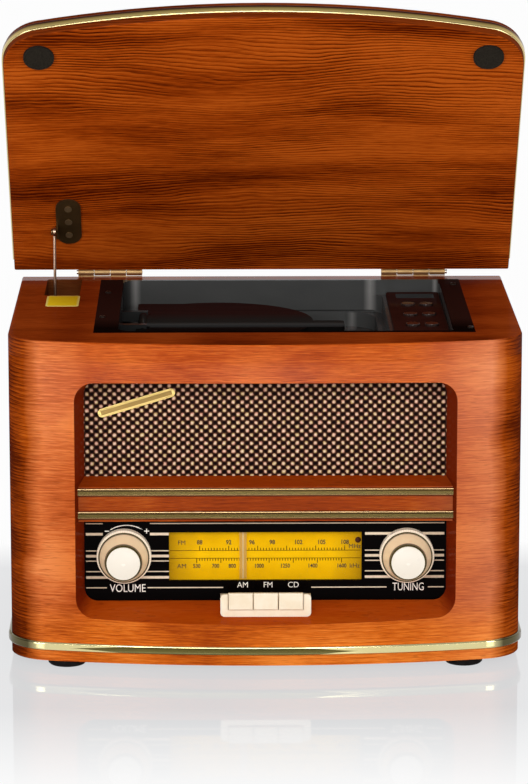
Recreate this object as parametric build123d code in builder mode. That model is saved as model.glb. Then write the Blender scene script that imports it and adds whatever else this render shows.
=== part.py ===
"""Stereo music centre: a wooden table radio with a CD deck under a hinged lid.

Millimetres. +Z is up and the front faces -Y. X is centred, Z = 0 is the floor under
the feet. The lid stands open on its wire stay.
"""
import math
import os

from build123d import *

# ---------------------------------------------------------------- cabinet
body_width = 320.0
body_depth = 212.0
body_height = 204.0
front_bow = 19.0
corner_radius = 28.0
wall = 12.0
top_thickness = 12.0
top_edge_radius = 1.5
base_thickness = 12.5
band_height = 5.6
band_proud = 2.0
band_inset = 1.5
band_edge_radius = 1.4
foot_height = 4.5
foot_diameter = 24.0
foot_side_inset = 35.5
foot_front_inset = 6.0
foot_back_inset = 22.0

# rear panel
rear_thickness = 3.0
rear_rebate = 6.0
vent_width = 3.0
vent_length = 34.0
vent_pitch = 8.0
vent_count = 9
vent_side = 62.0
vent_drop = 60.0
screw_shank = 3.0
screw_head = 6.4
screw_head_height = 1.8
screw_length = 11.0
screw_z_pitch = 76.0

# ---------------------------------------------------------------- front window
window_width = 239.2
window_top_margin = 23.8
window_bottom_margin = 25.4
window_radius = 14.5
recess_front_flare = 1.2
recess_front_step = 0.6
recess_front_low = 0.4
recess_front_radius = 14.0
recess_back_side = 6.6
recess_back_top = 6.2
recess_back_bottom = 8.6
recess_back_radius = 8.0
panel_setback = 16.0
baffle_thickness = 12.0
baffle_side_gap = 8.0
baffle_top_drop = 26.0
baffle_base_gap = 5.5
cloth_thickness = 1.0
fascia_thickness = 2.5

# centre bar and its rails, heights above the sill of the window
bar_top_rise = 84.6
bar_slope = 3.5
bar_bottom_rise = 62.6
rail_height = 5.1
rail_upper_inset = 0.6
rail_lower_inset = 1.6
rail_proud = 1.5
rail_depth = 1.5
rail_edge_radius = 0.9

# dial
dial_knob_gap = 28.2
dial_height = 31.2
dial_rise = 36.5
dial_glass = 1.2
dial_glass_inset = 0.2
dial_plate_thickness = 1.0
dial_plate_gap = 2.0
dial_plate_side = 13.6
dial_plate_height = 36.0
dial_cut_gap = 2.0
dial_cut_above = 4.75
dial_cut_below = 0.75
dial_boss_width = 9.0
dial_boss_height = 24.0
pointer_x = -14.0
pointer_width = 4.4
pointer_thickness = 1.0
pointer_gap = 0.5
carriage_width = 10.0
carriage_depth = 7.0
carriage_height = 7.0
guide_rod = 3.0
guide_rod_rise = 51.6
guide_rod_setback = 8.4
guide_rod_seat = 4.0
running_fit = 0.05

# knobs and their controls
knob_side_gap = 31.0
knob_rise = 37.8
knob_gap = 0.7
knob_skirt = 34.2
knob_skirt_length = 5.4
knob_ring_outer = 32.0
knob_cone_large = 30.6
knob_cone_small = 23.2
knob_cone_length = 12.8
knob_ring_thickness = 1.0
knob_cap = 20.8
knob_cap_length = 1.0
knob_dome = 0.8
shaft = 6.0
shaft_length = 21.0
shaft_end_gap = 1.0
bushing_outer = 9.4
control_size = 22.0
control_depth = 11.0
drum_radius = 15.9
drum_rim = 0.5
drum_width = 4.0
drum_gap = 0.6
arm_thickness = 2.5

# band keys
key_width = 15.2
key_height = 11.1
key_depth = 14.0
key_spacing = 15.7
key_top_rise = 19.1
key_front = -10.5
key_edge = 0.8
key_clearance = 0.35
key_travel = 3.5
bezel_width = 56.6
bezel_top_below_keys = 1.3
bezel_front = -8.5
bezel_radius = 2.8
bezel_back_wall = 3.0
bezel_floor = 4.4
stem = 2.4
stem_hole = 3.2
stem_rise = 10.5
key_slope = 13.5
switch_depth = 16.0
switch_width = 54.0
switch_height = 14.0

# loudspeakers
speaker_x = 62.0
speaker_drop = 62.0
speaker_flange = 58.0
speaker_cone = 49.0
speaker_magnet = 32.0
speaker_depth = 28.0
speaker_lip = 1.0
speaker_flange_thickness = 2.0
cone_centre = 7.0
cone_depth = 9.0
cone_skin = 1.0
cone_rim = 0.6

# ---------------------------------------------------------------- deck
deck_left = -107.0
deck_right = 131.0
deck_front = 19.0
deck_back = 200.0
deck_flange = 2.5
deck_ledge = 7.0
deck_wall = 2.5
well_left = -92.0
well_right = 80.0
well_front = 24.0
well_back = 197.0
well_depth = 21.3
well_radius = 10.0
bay_right = 75.0
bay_front = 66.0
bay_back = 195.5
bay_depth = 31.0
bay_radius = 20.0
keys_right = 118.0
keys_floor = 10.0
keys_radius = 4.0
keys_panel = 2.0
keys_panel_margin = 1.0

# CD door, spindle and pickup
disc_x = -29.5
disc_y = 132.0
door_radius = 62.0
door_drop = 14.5
door_thickness = 3.0
door_left = -82.0
door_corner_front = 150.0
door_corner_back = 190.0
door_tab_width = 22.0
door_tab_reach = 82.0
door_tab_y = 121.0
door_pivot_x = -78.0
door_pivot_drop = 15.6
door_barrel = 5.6
door_barrel_length = 38.0
door_pin = 2.5
door_ear_gap = 0.4
door_ear_width = 5.0
door_ear_drop = 12.4
door_ear_depth = 6.4
door_notch = 1.8
door_rest_gap = 0.3
spindle_shaft = 2.0
spindle_hub = 22.0
spindle_hub_drop = 26.0
spindle_hub_thickness = 2.5
spindle_boss = 14.6
spindle_boss_height = 2.6
spindle_length = 20.0
sled_length = 18.0
sled_width = 18.0
sled_drop = 29.2
sled_height = 8.6
sled_inner_radius = 23.0
sled_travel = 35.0
sled_side_gap = 1.5
sled_end_gap = 2.0
sled_rod = 2.0
sled_rod_offset = -5.0
sled_rod_drop = 35.0
lens_diameter = 5.0
mechanism_reach = 44.0
mechanism_rim = 5.0
mechanism_radius = 4.0
mechanism_depth = 66.0
mechanism_height = 7.5
motor_diameter = 20.0
motor_height = 13.0

# CD keys
cd_key = 9.0
cd_key_clearance = 0.4
cd_key_proud = 1.4
cd_key_travel = 1.0
cd_key_floor_gap = 0.2
cd_key_edge = 0.5
cd_key_stem = 3.0
cd_key_stem_length = 4.6
cd_key_columns = (95.0, 107.0)
cd_key_rows = (150.0, 116.0, 82.0)
display_x = 101.0
display_y = 182.0
display_width = 25.0
display_length = 15.0

# ---------------------------------------------------------------- lid
lid_side_overhang = 5.0
lid_front_overhang = 1.0
lid_bow = 20.0
lid_thickness = 14.0
lid_corner_radius = 28.0
lid_edge_radius = 1.2
lid_gap = 2.0
lid_open_angle = 53.8
lid_edge_to_axis = 3.4
trim_height = 5.9
trim_rise = 4.6
trim_proud = 1.0
trim_inset = 1.0
trim_edge_radius = 0.8
trim_end = 5.0
pad_diameter = 19.5
pad_clearance = 0.3
pad_side_inset = 22.9
pad_front_inset = 33.8

# hinges
hinge_overhang = 0.4
hinge_height = 2.9
hinge_side_inset = 58.8
hinge_width = 42.6
hinge_knuckles = 4
hinge_knuckle_gap = 0.35
hinge_barrel = 4.5
hinge_pin = 1.9
hinge_leaf = 0.85
hinge_leaf_length = 11.0
hinge_leaf_relief = 0.35
hinge_pin_head = 3.0

# stay
bracket_guide_gap = 18.7
bracket_width = 16.5
bracket_length = 41.0
bracket_reach = 46.8
bracket_thickness = 1.2
bracket_screw = 4.8
bracket_screw_head = 0.6
bracket_screw_pitch = 12.15
bracket_screw_shank = 2.6
bracket_screw_length = 9.0
ear_length = 8.0
stay_wire = 1.8
stay_bend = 2.6
stay_eye_thickness = 1.5
stay_eye = 6.0
stay_pivot_pin = 2.4
stay_pivot_reach = 40.0
stay_pivot_rise = 3.5
stay_side_gap = 0.45
stay_length = 54.0
stay_head = 4.4
stay_head_thickness = 0.9
guide_thickness = 1.2
guide_wall_gap = 1.8
guide_slot = 2.6
guide_depth = 48.0
guide_length = 50.0
guide_flange = 3.4
pocket_guide_gap = 3.7
pocket_width = 23.0
pocket_front = 144.2
pocket_back = 201.8
pocket_radius = 2.0

# inside the cabinet
board_x = -25.0
board_y = 120.0
board_length = 130.0
board_width = 110.0
board_thickness = 1.6
board_lift = 8.0
part_height_small = 12.0
part_height_tall = 18.0
part_chip = 22.0
part_heatsink = (40.0, 14.0)
heatsink_side = 30.0
heatsink_back = 30.0
chip_side = 30.0
chip_front = 20.0
part_can = 5.0
part_can_pitch = (24.0, 30.0)
post_inset = 7.0
post_radius = 4.0
transformer_side_gap = 65.0
transformer_y = 120.0
transformer_size = (46.0, 40.0, 38.0)
winding_inset = 6.0
winding_proud = 8.0
inlet_side_gap = 52.0
inlet_rise = 32.0
inlet_width = 24.0
inlet_height = 14.0
inlet_flange = 2.5
inlet_depth = 16.0
socket_width = 17.2
socket_height = 8.6
socket_pitch = 8.6
socket_pin = 2.4
socket_cut = (18.0, 10.0, 4.0)

# ---------------------------------------------------------------- derived places
top_z = foot_height + body_height
shell_z = foot_height + base_thickness
shell_height = body_height - base_thickness - top_thickness
opening = math.radians(lid_open_angle)
# rear lower edge of the lid, seen from the hinge axis, with the lid shut
edge_back = -lid_edge_to_axis
edge_up = lid_gap - hinge_height


def swung(back, up):
    """A point seen from the hinge axis, carried from the shut to the open lid."""
    return (
        back * math.cos(opening) + up * math.sin(opening),
        -back * math.sin(opening) + up * math.cos(opening),
    )


rear_overhang = swung(edge_back, edge_up + lid_thickness)[0] + hinge_overhang
front_y = (front_bow + band_proud - body_depth - rear_overhang) / 2
back_y = front_y + body_depth
panel_y = front_y + panel_setback
fascia_y = panel_y - fascia_thickness
baffle_back_y = panel_y + baffle_thickness
axis_y = back_y + hinge_overhang
axis_z = top_z + hinge_height
edge_y, edge_z = swung(edge_back, edge_up)
lid_plane = Plane(
    origin=(0, axis_y + edge_y, axis_z + edge_z),
    x_dir=(1, 0, 0),
    z_dir=(0, math.sin(opening), math.cos(opening)),
)
body_plan = (body_width / 2, front_y, front_bow, corner_radius)
lid_width = body_width + 2 * lid_side_overhang
lid_shut_front = body_depth + front_bow + lid_front_overhang
lid_length = lid_shut_front + hinge_overhang - lid_edge_to_axis
pad_x = lid_width / 2 - pad_side_inset
pad_reach = lid_length - pad_front_inset
hinge_x = body_width / 2 - hinge_side_inset
guide_x = -body_width / 2 + wall + guide_wall_gap
bracket_x = guide_x + bracket_guide_gap
pocket_left = guide_x + pocket_guide_gap
pocket_right = pocket_left + pocket_width
window_top_z = top_z - window_top_margin
sill_z = foot_height + window_bottom_margin
window_height = window_top_z - sill_z
bar_top_z = sill_z + bar_top_rise
bar_bottom_z = sill_z + bar_bottom_rise
rail_tops = (bar_top_z - rail_upper_inset, bar_bottom_z + rail_lower_inset + rail_height)
knob_x = window_width / 2 - knob_side_gap
dial_width = 2 * (knob_x - dial_knob_gap)
dial_plate_width = dial_width + 2 * dial_plate_side
dial_cut_width = dial_plate_width + 2 * dial_cut_gap
dial_z = sill_z + dial_rise
transformer_x = body_width / 2 - transformer_side_gap
inlet_x = body_width / 2 - inlet_side_gap
lid_plan = (lid_width / 2, lid_bow - lid_length, lid_bow, lid_corner_radius)


def level(z):
    """A horizontal plane at height z."""
    return Plane.XY.offset(z)


def upright(y):
    """A plane that faces the front, with local x = X and local y = Z."""
    return Plane(origin=(0, y, 0), x_dir=(1, 0, 0), z_dir=(0, -1, 0))


def across(x):
    """A plane that faces +X, with local x = Y and local y = Z."""
    return Plane(origin=(x, 0, 0), x_dir=(0, 1, 0), z_dir=(1, 0, 0))


def grown(plan, by):
    """The same bowed plan with its front and sides moved out by a distance."""
    half, front, bow, radius = plan
    bow_radius = (half**2 + bow**2) / (2 * bow)
    centre = front - bow + bow_radius
    half += by
    bow_radius += by
    corner = centre - math.sqrt(bow_radius**2 - half**2)
    return half, corner, corner - (centre - bow_radius), radius + by


def bowed(plane, plan, back):
    """A plan with a bowed front, rounded front corners and a straight back."""
    half, front, bow, radius = plan
    with BuildSketch(plane) as sketch:
        with BuildLine():
            ThreePointArc((-half, front), (0, front - bow), (half, front))
            Polyline((half, front), (half, back), (-half, back), (-half, front))
        make_face()
        fillet(sketch.vertices().group_by(Axis.Y)[0], radius)
    return sketch.sketch


def block(plane, left, right, low, high, radius=0.0):
    """A rectangle between two pairs of sides, with rounded corners if asked."""
    with BuildSketch(plane) as sketch:
        with Locations(((left + right) / 2, (low + high) / 2)):
            if radius:
                RectangleRounded(right - left, high - low, radius)
            else:
                Rectangle(right - left, high - low)
    return sketch.sketch


def disc(plane, radius, *centres):
    """Circles of one radius at the given centres."""
    with BuildSketch(plane) as sketch:
        with Locations(*centres):
            Circle(radius)
    return sketch.sketch


def turned(origin, points):
    """A profile of (radius, distance back from origin) points, on a plane through Y."""
    plane = Plane(origin=origin, x_dir=(1, 0, 0), z_dir=(0, 0, 1))
    with BuildSketch(plane) as sketch:
        with BuildLine():
            Polyline(*points, close=True)
        make_face()
    return sketch.sketch


# ---------------------------------------------------------------- wooden cabinet
with BuildPart() as cabinet_shell:
    extrude(bowed(level(shell_z), body_plan, back_y), amount=shell_height)
    extrude(
        bowed(level(shell_z), grown(body_plan, -wall), back_y + 1),
        amount=shell_height,
        mode=Mode.SUBTRACT,
    )
    rebate_half = body_width / 2 - wall + rear_rebate
    extrude(
        block(level(shell_z), -rebate_half, rebate_half, back_y - rear_thickness, back_y),
        amount=shell_height,
        mode=Mode.SUBTRACT,
    )
    window = block(
        upright(panel_y),
        -window_width / 2,
        window_width / 2,
        sill_z,
        window_top_z,
        window_radius,
    )
    extrude(window, amount=front_bow + panel_setback + 5, mode=Mode.SUBTRACT)
    rear_screw_x = body_width / 2 - wall + rear_rebate / 2
    rear_screw_z = top_z - body_height / 2
    with BuildSketch(Plane.XZ.offset(-back_y)) as screw_points:
        with Locations((0, rear_screw_z)):
            with GridLocations(2 * rear_screw_x, screw_z_pitch, 2, 3):
                Circle(screw_shank / 2)
    extrude(amount=screw_length, mode=Mode.SUBTRACT)

with BuildPart() as top_board:
    extrude(
        bowed(level(top_z - top_thickness), body_plan, back_y), amount=top_thickness
    )
    fillet(top_board.edges().group_by(Axis.Z)[-1].sort_by(Axis.Y)[:-1], top_edge_radius)
    deck_plan = block(
        level(top_z), deck_left, deck_right, front_y + deck_front, front_y + deck_back
    )
    extrude(deck_plan, amount=-deck_flange, mode=Mode.SUBTRACT)
    deck_hole = block(
        level(top_z),
        deck_left + deck_ledge,
        deck_right - deck_ledge,
        front_y + deck_front,
        front_y + deck_back,
    )
    extrude(deck_hole, amount=-top_thickness, mode=Mode.SUBTRACT)
    pocket = block(
        level(top_z),
        pocket_left,
        pocket_right,
        front_y + pocket_front,
        front_y + pocket_back,
        pocket_radius,
    )
    extrude(pocket, amount=-top_thickness, mode=Mode.SUBTRACT)

band_z = shell_z - band_height
inner_plan = grown(body_plan, -band_inset)
with BuildPart() as base_board:
    extrude(bowed(level(foot_height), body_plan, back_y), amount=band_z - foot_height)
    extrude(bowed(level(band_z), inner_plan, back_y), amount=band_height)

with BuildPart() as brass_band:
    extrude(bowed(level(band_z), grown(body_plan, band_proud), back_y), amount=band_height)
    band_edges = brass_band.edges().filter_by(Axis.Z, reverse=True)
    fillet(
        band_edges.group_by(Axis.Z)[-1].sort_by(Axis.Y)[:-1]
        + band_edges.group_by(Axis.Z)[0].sort_by(Axis.Y)[:-1],
        band_edge_radius,
    )
    extrude(
        bowed(level(band_z), inner_plan, back_y),
        amount=band_height,
        mode=Mode.SUBTRACT,
    )

with BuildPart() as rubber_feet:
    foot_x = body_width / 2 - foot_side_inset
    feet = [
        (side * foot_x, y)
        for side in (-1, 1)
        for y in (front_y + foot_front_inset, back_y - foot_back_inset)
    ]
    extrude(disc(level(0), foot_diameter / 2, *feet), amount=foot_height)
    chamfer(rubber_feet.edges().group_by(Axis.Z)[0], 1.0)

with BuildPart() as rear_panel:
    extrude(
        block(level(shell_z), -rebate_half, rebate_half, back_y - rear_thickness, back_y),
        amount=shell_height,
    )
    inlet_z = shell_z + inlet_rise
    with BuildSketch(Plane.XZ.offset(-back_y)) as rear_openings:
        with Locations((inlet_x, inlet_z)):
            Rectangle(inlet_width, inlet_height)
        with Locations((-vent_side, top_z - vent_drop), (vent_side, top_z - vent_drop)):
            with GridLocations(vent_pitch, 1, vent_count, 1):
                SlotOverall(vent_length, vent_width, rotation=90)
    extrude(amount=rear_thickness, mode=Mode.SUBTRACT)
    with BuildSketch(Plane.XZ.offset(-back_y)) as rear_holes:
        with Locations((0, rear_screw_z)):
            with GridLocations(2 * rear_screw_x, screw_z_pitch, 2, 3):
                Circle(screw_shank / 2)
    extrude(amount=rear_thickness, mode=Mode.SUBTRACT)

with BuildPart() as rear_panel_screws:
    with BuildSketch(Plane.XZ.offset(-back_y)) as shanks:
        with Locations((0, rear_screw_z)):
            with GridLocations(2 * rear_screw_x, screw_z_pitch, 2, 3):
                Circle(screw_shank / 2)
    extrude(amount=screw_length)
    with BuildSketch(Plane.XZ.offset(-back_y)) as heads:
        with Locations((0, rear_screw_z)):
            with GridLocations(2 * rear_screw_x, screw_z_pitch, 2, 3):
                Circle(screw_head / 2)
    extrude(amount=-screw_head_height)

# ---------------------------------------------------------------- front window
with BuildPart() as recess:
    for y, side, low, high, radius in (
        (
            front_y - front_bow - 1,
            window_width / 2 + recess_front_flare,
            sill_z + recess_front_step,
            window_top_z - recess_front_low,
            recess_front_radius,
        ),
        (
            panel_y,
            window_width / 2 - recess_back_side,
            sill_z + recess_back_bottom,
            window_top_z - recess_back_top,
            recess_back_radius,
        ),
    ):
        with BuildSketch(upright(y)):
            with Locations((0, (low + high) / 2)):
                RectangleRounded(2 * side, high - low, radius)
    loft()

with BuildPart() as front_surround:
    extrude(
        bowed(level(sill_z), body_plan, back_y),
        amount=window_height,
    )
    extrude(window, amount=front_bow + panel_setback + 5, mode=Mode.INTERSECT)
    add(recess.part, mode=Mode.SUBTRACT)

knob_points = [(side * knob_x, sill_z + knob_rise) for side in (-1, 1)]
key_z = sill_z + key_top_rise - key_height / 2
key_points = [(place * key_spacing, key_z) for place in (-1, 0, 1)]
stem_z = sill_z + stem_rise
stem_points = [(place * key_spacing, stem_z) for place in (-1, 0, 1)]
speaker_points = [(side * speaker_x, top_z - speaker_drop) for side in (-1, 1)]
rod_z = sill_z + guide_rod_rise
rod_y = panel_y + guide_rod_setback
rod_half = dial_cut_width / 2 + guide_rod_seat

with BuildPart() as baffle_board:
    baffle_half = body_width / 2 - wall - baffle_side_gap
    extrude(
        block(
            upright(panel_y),
            -baffle_half,
            baffle_half,
            shell_z + baffle_base_gap,
            top_z - baffle_top_drop,
        ),
        amount=-baffle_thickness,
    )
    extrude(
        disc(upright(panel_y), speaker_cone / 2 - speaker_lip, *speaker_points),
        amount=-baffle_thickness,
        mode=Mode.SUBTRACT,
    )
    extrude(
        disc(upright(panel_y), bushing_outer / 2, *knob_points),
        amount=-baffle_thickness,
        mode=Mode.SUBTRACT,
    )
    extrude(
        disc(upright(panel_y), stem_hole / 2, *stem_points),
        amount=-baffle_thickness,
        mode=Mode.SUBTRACT,
    )
    extrude(
        block(
            upright(panel_y),
            -dial_cut_width / 2,
            dial_cut_width / 2,
            dial_z - dial_plate_height / 2 - dial_cut_below,
            dial_z + dial_plate_height / 2 + dial_cut_above,
        ),
        amount=-baffle_thickness,
        mode=Mode.SUBTRACT,
    )
    with BuildSketch(across(-rod_half)):
        with Locations((rod_y, rod_z)):
            Circle(guide_rod / 2)
    extrude(amount=2 * rod_half, mode=Mode.SUBTRACT)

with BuildPart() as grille_cloth:
    bar_back_z = bar_top_z + bar_slope
    extrude(
        block(
            upright(panel_y),
            -window_width / 2,
            window_width / 2,
            bar_back_z,
            window_top_z,
        ),
        amount=cloth_thickness,
    )
    add(recess.part, mode=Mode.INTERSECT)

with BuildPart() as centre_bar:
    with BuildSketch(across(-window_width / 2)):
        with BuildLine():
            Polyline(
                (front_y, bar_top_z),
                (panel_y, bar_back_z),
                (panel_y, bar_bottom_z),
                (front_y, bar_bottom_z),
                close=True,
            )
        make_face()
    extrude(amount=window_width)
    add(recess.part, mode=Mode.INTERSECT)
    add(grille_cloth.part, mode=Mode.SUBTRACT)
    for rail_top in rail_tops:
        extrude(
            block(
                upright(front_y + rail_depth),
                -window_width / 2,
                window_width / 2,
                rail_top - rail_height,
                rail_top,
            ),
            amount=rail_depth + rail_proud,
            mode=Mode.SUBTRACT,
        )

rails = []
for rail_top in rail_tops:
    with BuildPart() as rail:
        extrude(
            block(
                upright(front_y + rail_depth),
                -window_width / 2,
                window_width / 2,
                rail_top - rail_height,
                rail_top,
            ),
            amount=rail_depth + rail_proud,
        )
        fillet(
            rail.edges().filter_by(Axis.X).group_by(Axis.Y)[0], rail_edge_radius
        )
        add(recess.part, mode=Mode.INTERSECT)
    rails.append(rail)
upper_brass_rail, lower_brass_rail = rails

with BuildPart() as fascia_panel:
    extrude(
        block(
            upright(panel_y),
            -window_width / 2,
            window_width / 2,
            sill_z,
            bar_bottom_z,
        ),
        amount=fascia_thickness,
    )
    add(recess.part, mode=Mode.INTERSECT)
    dial_opening = block(
        upright(panel_y),
        -dial_width / 2,
        dial_width / 2,
        dial_z - dial_height / 2,
        dial_z + dial_height / 2,
    )
    extrude(dial_opening, amount=fascia_thickness, mode=Mode.SUBTRACT)
    extrude(
        disc(upright(panel_y), bushing_outer / 2, *knob_points),
        amount=fascia_thickness,
        mode=Mode.SUBTRACT,
    )
    extrude(
        disc(upright(panel_y), stem_hole / 2, *stem_points),
        amount=fascia_thickness,
        mode=Mode.SUBTRACT,
    )

# ---------------------------------------------------------------- dial
with BuildPart() as dial_window:
    extrude(
        block(
            upright(fascia_y + dial_glass_inset + dial_glass),
            -dial_width / 2,
            dial_width / 2,
            dial_z - dial_height / 2,
            dial_z + dial_height / 2,
        ),
        amount=dial_glass,
    )

plate_y = panel_y + dial_plate_gap
with BuildPart() as dial_plate:
    extrude(
        block(
            upright(plate_y),
            -dial_plate_width / 2,
            dial_plate_width / 2,
            dial_z - dial_plate_height / 2,
            dial_z + dial_plate_height / 2,
        ),
        amount=-dial_plate_thickness,
    )
    boss_x = dial_plate_width / 2 - dial_boss_width / 2
    with BuildSketch(upright(plate_y)):
        with Locations((-boss_x, dial_z), (boss_x, dial_z)):
            Rectangle(dial_boss_width, dial_boss_height)
    extrude(amount=dial_plate_gap)

with BuildPart() as pointer_rail:
    with BuildSketch(across(-rod_half)):
        with Locations((rod_y, rod_z)):
            Circle(guide_rod / 2)
    extrude(amount=2 * rod_half)

with BuildPart() as dial_pointer:
    blade_y = panel_y + pointer_gap
    plate_top_z = dial_z + dial_plate_height / 2
    arm_top_z = plate_top_z + pointer_gap + pointer_thickness * 1.6
    extrude(
        block(
            upright(blade_y + pointer_thickness),
            pointer_x - pointer_width / 2,
            pointer_x + pointer_width / 2,
            dial_z - dial_height / 2 + 0.4,
            arm_top_z,
        ),
        amount=pointer_thickness,
    )
    extrude(
        block(
            upright(rod_y),
            pointer_x - pointer_width / 2,
            pointer_x + pointer_width / 2,
            plate_top_z + pointer_gap,
            arm_top_z,
        ),
        amount=rod_y - blade_y,
    )
    extrude(
        block(
            upright(rod_y + carriage_depth / 2),
            pointer_x - carriage_width / 2,
            pointer_x + carriage_width / 2,
            rod_z - carriage_height / 2,
            arm_top_z,
        ),
        amount=min(carriage_depth, rod_y + carriage_depth / 2 - plate_y - 2),
    )
    with BuildSketch(across(pointer_x - carriage_width)):
        with Locations((rod_y, rod_z)):
            Circle(guide_rod / 2 + running_fit)
    extrude(amount=2 * carriage_width, mode=Mode.SUBTRACT)

# ---------------------------------------------------------------- knobs
knobs = []
knob_rings = []
for x, z in knob_points:
    base = -knob_gap
    skirt_end = base - knob_skirt_length
    bevel_end = skirt_end - knob_ring_thickness
    ring_end = bevel_end - knob_ring_thickness
    cone_end = ring_end - knob_cone_length
    cap_base = cone_end - knob_ring_thickness
    cap_end = cap_base - knob_cap_length
    ring_inner = knob_ring_outer / 2 - knob_ring_thickness
    dome_sphere = (knob_cap**2 / 4 + knob_dome**2) / (2 * knob_dome)
    dome_half = math.asin(knob_cap / 2 / dome_sphere) / 2
    dome_middle = cap_end - knob_dome + dome_sphere * (1 - math.cos(dome_half))
    with BuildPart() as knob:
        with BuildSketch(Plane(origin=(x, fascia_y, z), z_dir=(0, 0, 1))):
            with BuildLine():
                Polyline(
                    (0, cap_end - knob_dome),
                    (0, shaft_length),
                    (shaft / 2, shaft_length),
                    (shaft / 2, base),
                    (knob_skirt / 2, base),
                    (knob_skirt / 2, skirt_end),
                    (knob_ring_outer / 2, bevel_end),
                    (ring_inner, bevel_end),
                    (ring_inner, ring_end),
                    (knob_cone_large / 2, ring_end),
                    (knob_cone_small / 2, cone_end),
                    (knob_cap / 2, cone_end),
                    (knob_cap / 2, cap_end),
                )
                ThreePointArc(
                    (knob_cap / 2, cap_end),
                    (dome_sphere * math.sin(dome_half), dome_middle),
                    (0, cap_end - knob_dome),
                )
            make_face()
        revolve(axis=Axis((x, 0, z), (0, 1, 0)))
    knobs.append(knob)
    with BuildPart() as rings:
        for inner, outer, start, end in (
            (ring_inner, knob_ring_outer / 2, bevel_end, ring_end),
            (knob_cap / 2, knob_cone_small / 2 - 0.2, cone_end, cap_base),
        ):
            revolve(
                turned(
                    (x, fascia_y, z),
                    [(inner, start), (outer, start), (outer, end), (inner, end)],
                ),
                axis=Axis((x, 0, z), (0, 1, 0)),
            )
    knob_rings.append(rings)
volume_knob, tuning_knob = knobs
volume_knob_rings, tuning_knob_rings = knob_rings

with BuildPart() as volume_control:
    x, z = knob_points[0]
    half = control_size / 2
    extrude(
        block(upright(baffle_back_y), x - half, x + half, z - half, z + half),
        amount=-control_depth,
    )
    extrude(disc(upright(baffle_back_y), bushing_outer / 2, (x, z)), amount=baffle_thickness)
    extrude(
        disc(upright(fascia_y), shaft / 2 + running_fit, (x, z)),
        amount=-(shaft_length + shaft_end_gap),
        mode=Mode.SUBTRACT,
    )

drum_outer = drum_radius + drum_rim
drum_y = baffle_back_y + drum_gap
with BuildPart() as dial_drum:
    x, z = knob_points[1]
    rim = drum_width / 4
    revolve(
        turned(
            (x, drum_y, z),
            [
                (shaft / 2, 0),
                (drum_outer, 0),
                (drum_outer, rim),
                (drum_radius, rim + drum_rim),
                (drum_radius, drum_width - rim - drum_rim),
                (drum_outer, drum_width - rim),
                (drum_outer, drum_width),
                (shaft / 2, drum_width),
            ],
        ),
        axis=Axis((x, 0, z), (0, 1, 0)),
    )

tuning_body_y = drum_y + drum_width + drum_gap
with BuildPart() as tuning_control:
    x, z = knob_points[1]
    half = control_size / 2
    arm_low = drum_outer + drum_gap
    arm_high = arm_low + arm_thickness
    extrude(
        block(upright(tuning_body_y), x - half, x + half, z - arm_high, z + arm_high),
        amount=-control_depth,
    )
    for side in (-1, 1):
        low, high = sorted((side * arm_low, side * arm_high))
        extrude(
            block(upright(tuning_body_y), x - half / 2, x + half / 2, z + low, z + high),
            amount=tuning_body_y - baffle_back_y,
        )
    extrude(
        disc(upright(tuning_body_y), shaft / 2 + running_fit, (x, z)),
        amount=-(fascia_y + shaft_length + shaft_end_gap - tuning_body_y),
        mode=Mode.SUBTRACT,
    )

# ---------------------------------------------------------------- band keys
bezel_half = bezel_width / 2
channel_half = key_spacing + key_width / 2 + key_clearance
channel_z = key_z - key_height / 2 - key_clearance


def above_slope(left, front, back, top):
    """The side view of all that stands above a top that falls backwards."""
    fall = (back - front) * math.tan(math.radians(key_slope))
    with BuildSketch(across(left)) as wedge:
        Polygon((front, top), (back, top - fall), (back, top + 5), (front, top + 5), align=None)
    return wedge.sketch


with BuildPart() as button_bezel:
    bezel_top = sill_z + key_top_rise - bezel_top_below_keys
    bezel_low = channel_z - bezel_floor
    extrude(
        block(
            upright(fascia_y),
            -bezel_half,
            bezel_half,
            bezel_low,
            bezel_top,
            bezel_radius,
        ),
        amount=fascia_y - front_y - bezel_front,
    )
    add(recess.part, mode=Mode.INTERSECT)
    extrude(
        above_slope(-bezel_half, front_y + bezel_front, fascia_y, bezel_top),
        amount=2 * bezel_half,
        mode=Mode.SUBTRACT,
    )
    extrude(
        block(
            upright(fascia_y - bezel_back_wall),
            -channel_half,
            channel_half,
            channel_z,
            bezel_top + 1,
        ),
        amount=fascia_y - front_y - bezel_front,
        mode=Mode.SUBTRACT,
    )
    extrude(
        disc(upright(fascia_y), stem_hole / 2, *stem_points),
        amount=bezel_back_wall,
        mode=Mode.SUBTRACT,
    )

switch_y = baffle_back_y
stem_end_y = switch_y + switch_depth / 2
band_keys = []
for x, z in key_points:
    with BuildPart() as band_key:
        extrude(
            block(
                upright(front_y + key_front + key_depth),
                x - key_width / 2,
                x + key_width / 2,
                z - key_height / 2,
                z + key_height / 2,
            ),
            amount=key_depth,
        )
        key_face_y = front_y + key_front
        extrude(
            above_slope(
                x - key_width / 2, key_face_y, key_face_y + key_depth, z + key_height / 2
            ),
            amount=key_width,
            mode=Mode.SUBTRACT,
        )
        fillet(band_key.faces().sort_by(Axis.Y)[0].edges(), key_edge)
        stem_start_y = front_y + key_front + key_depth
        extrude(
            disc(upright(stem_start_y), stem / 2, (x, stem_z)),
            amount=-(stem_end_y - stem_start_y),
        )
    band_keys.append(band_key)
band_key_am, band_key_fm, band_key_cd = band_keys

with BuildPart() as band_switch:
    extrude(
        block(
            upright(switch_y),
            -switch_width / 2,
            switch_width / 2,
            key_z - switch_height / 2,
            key_z + switch_height / 2,
        ),
        amount=-switch_depth,
    )
    extrude(
        disc(upright(switch_y), stem / 2 + running_fit, *stem_points),
        amount=-(switch_depth / 2 + key_travel + 0.5),
        mode=Mode.SUBTRACT,
    )

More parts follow.
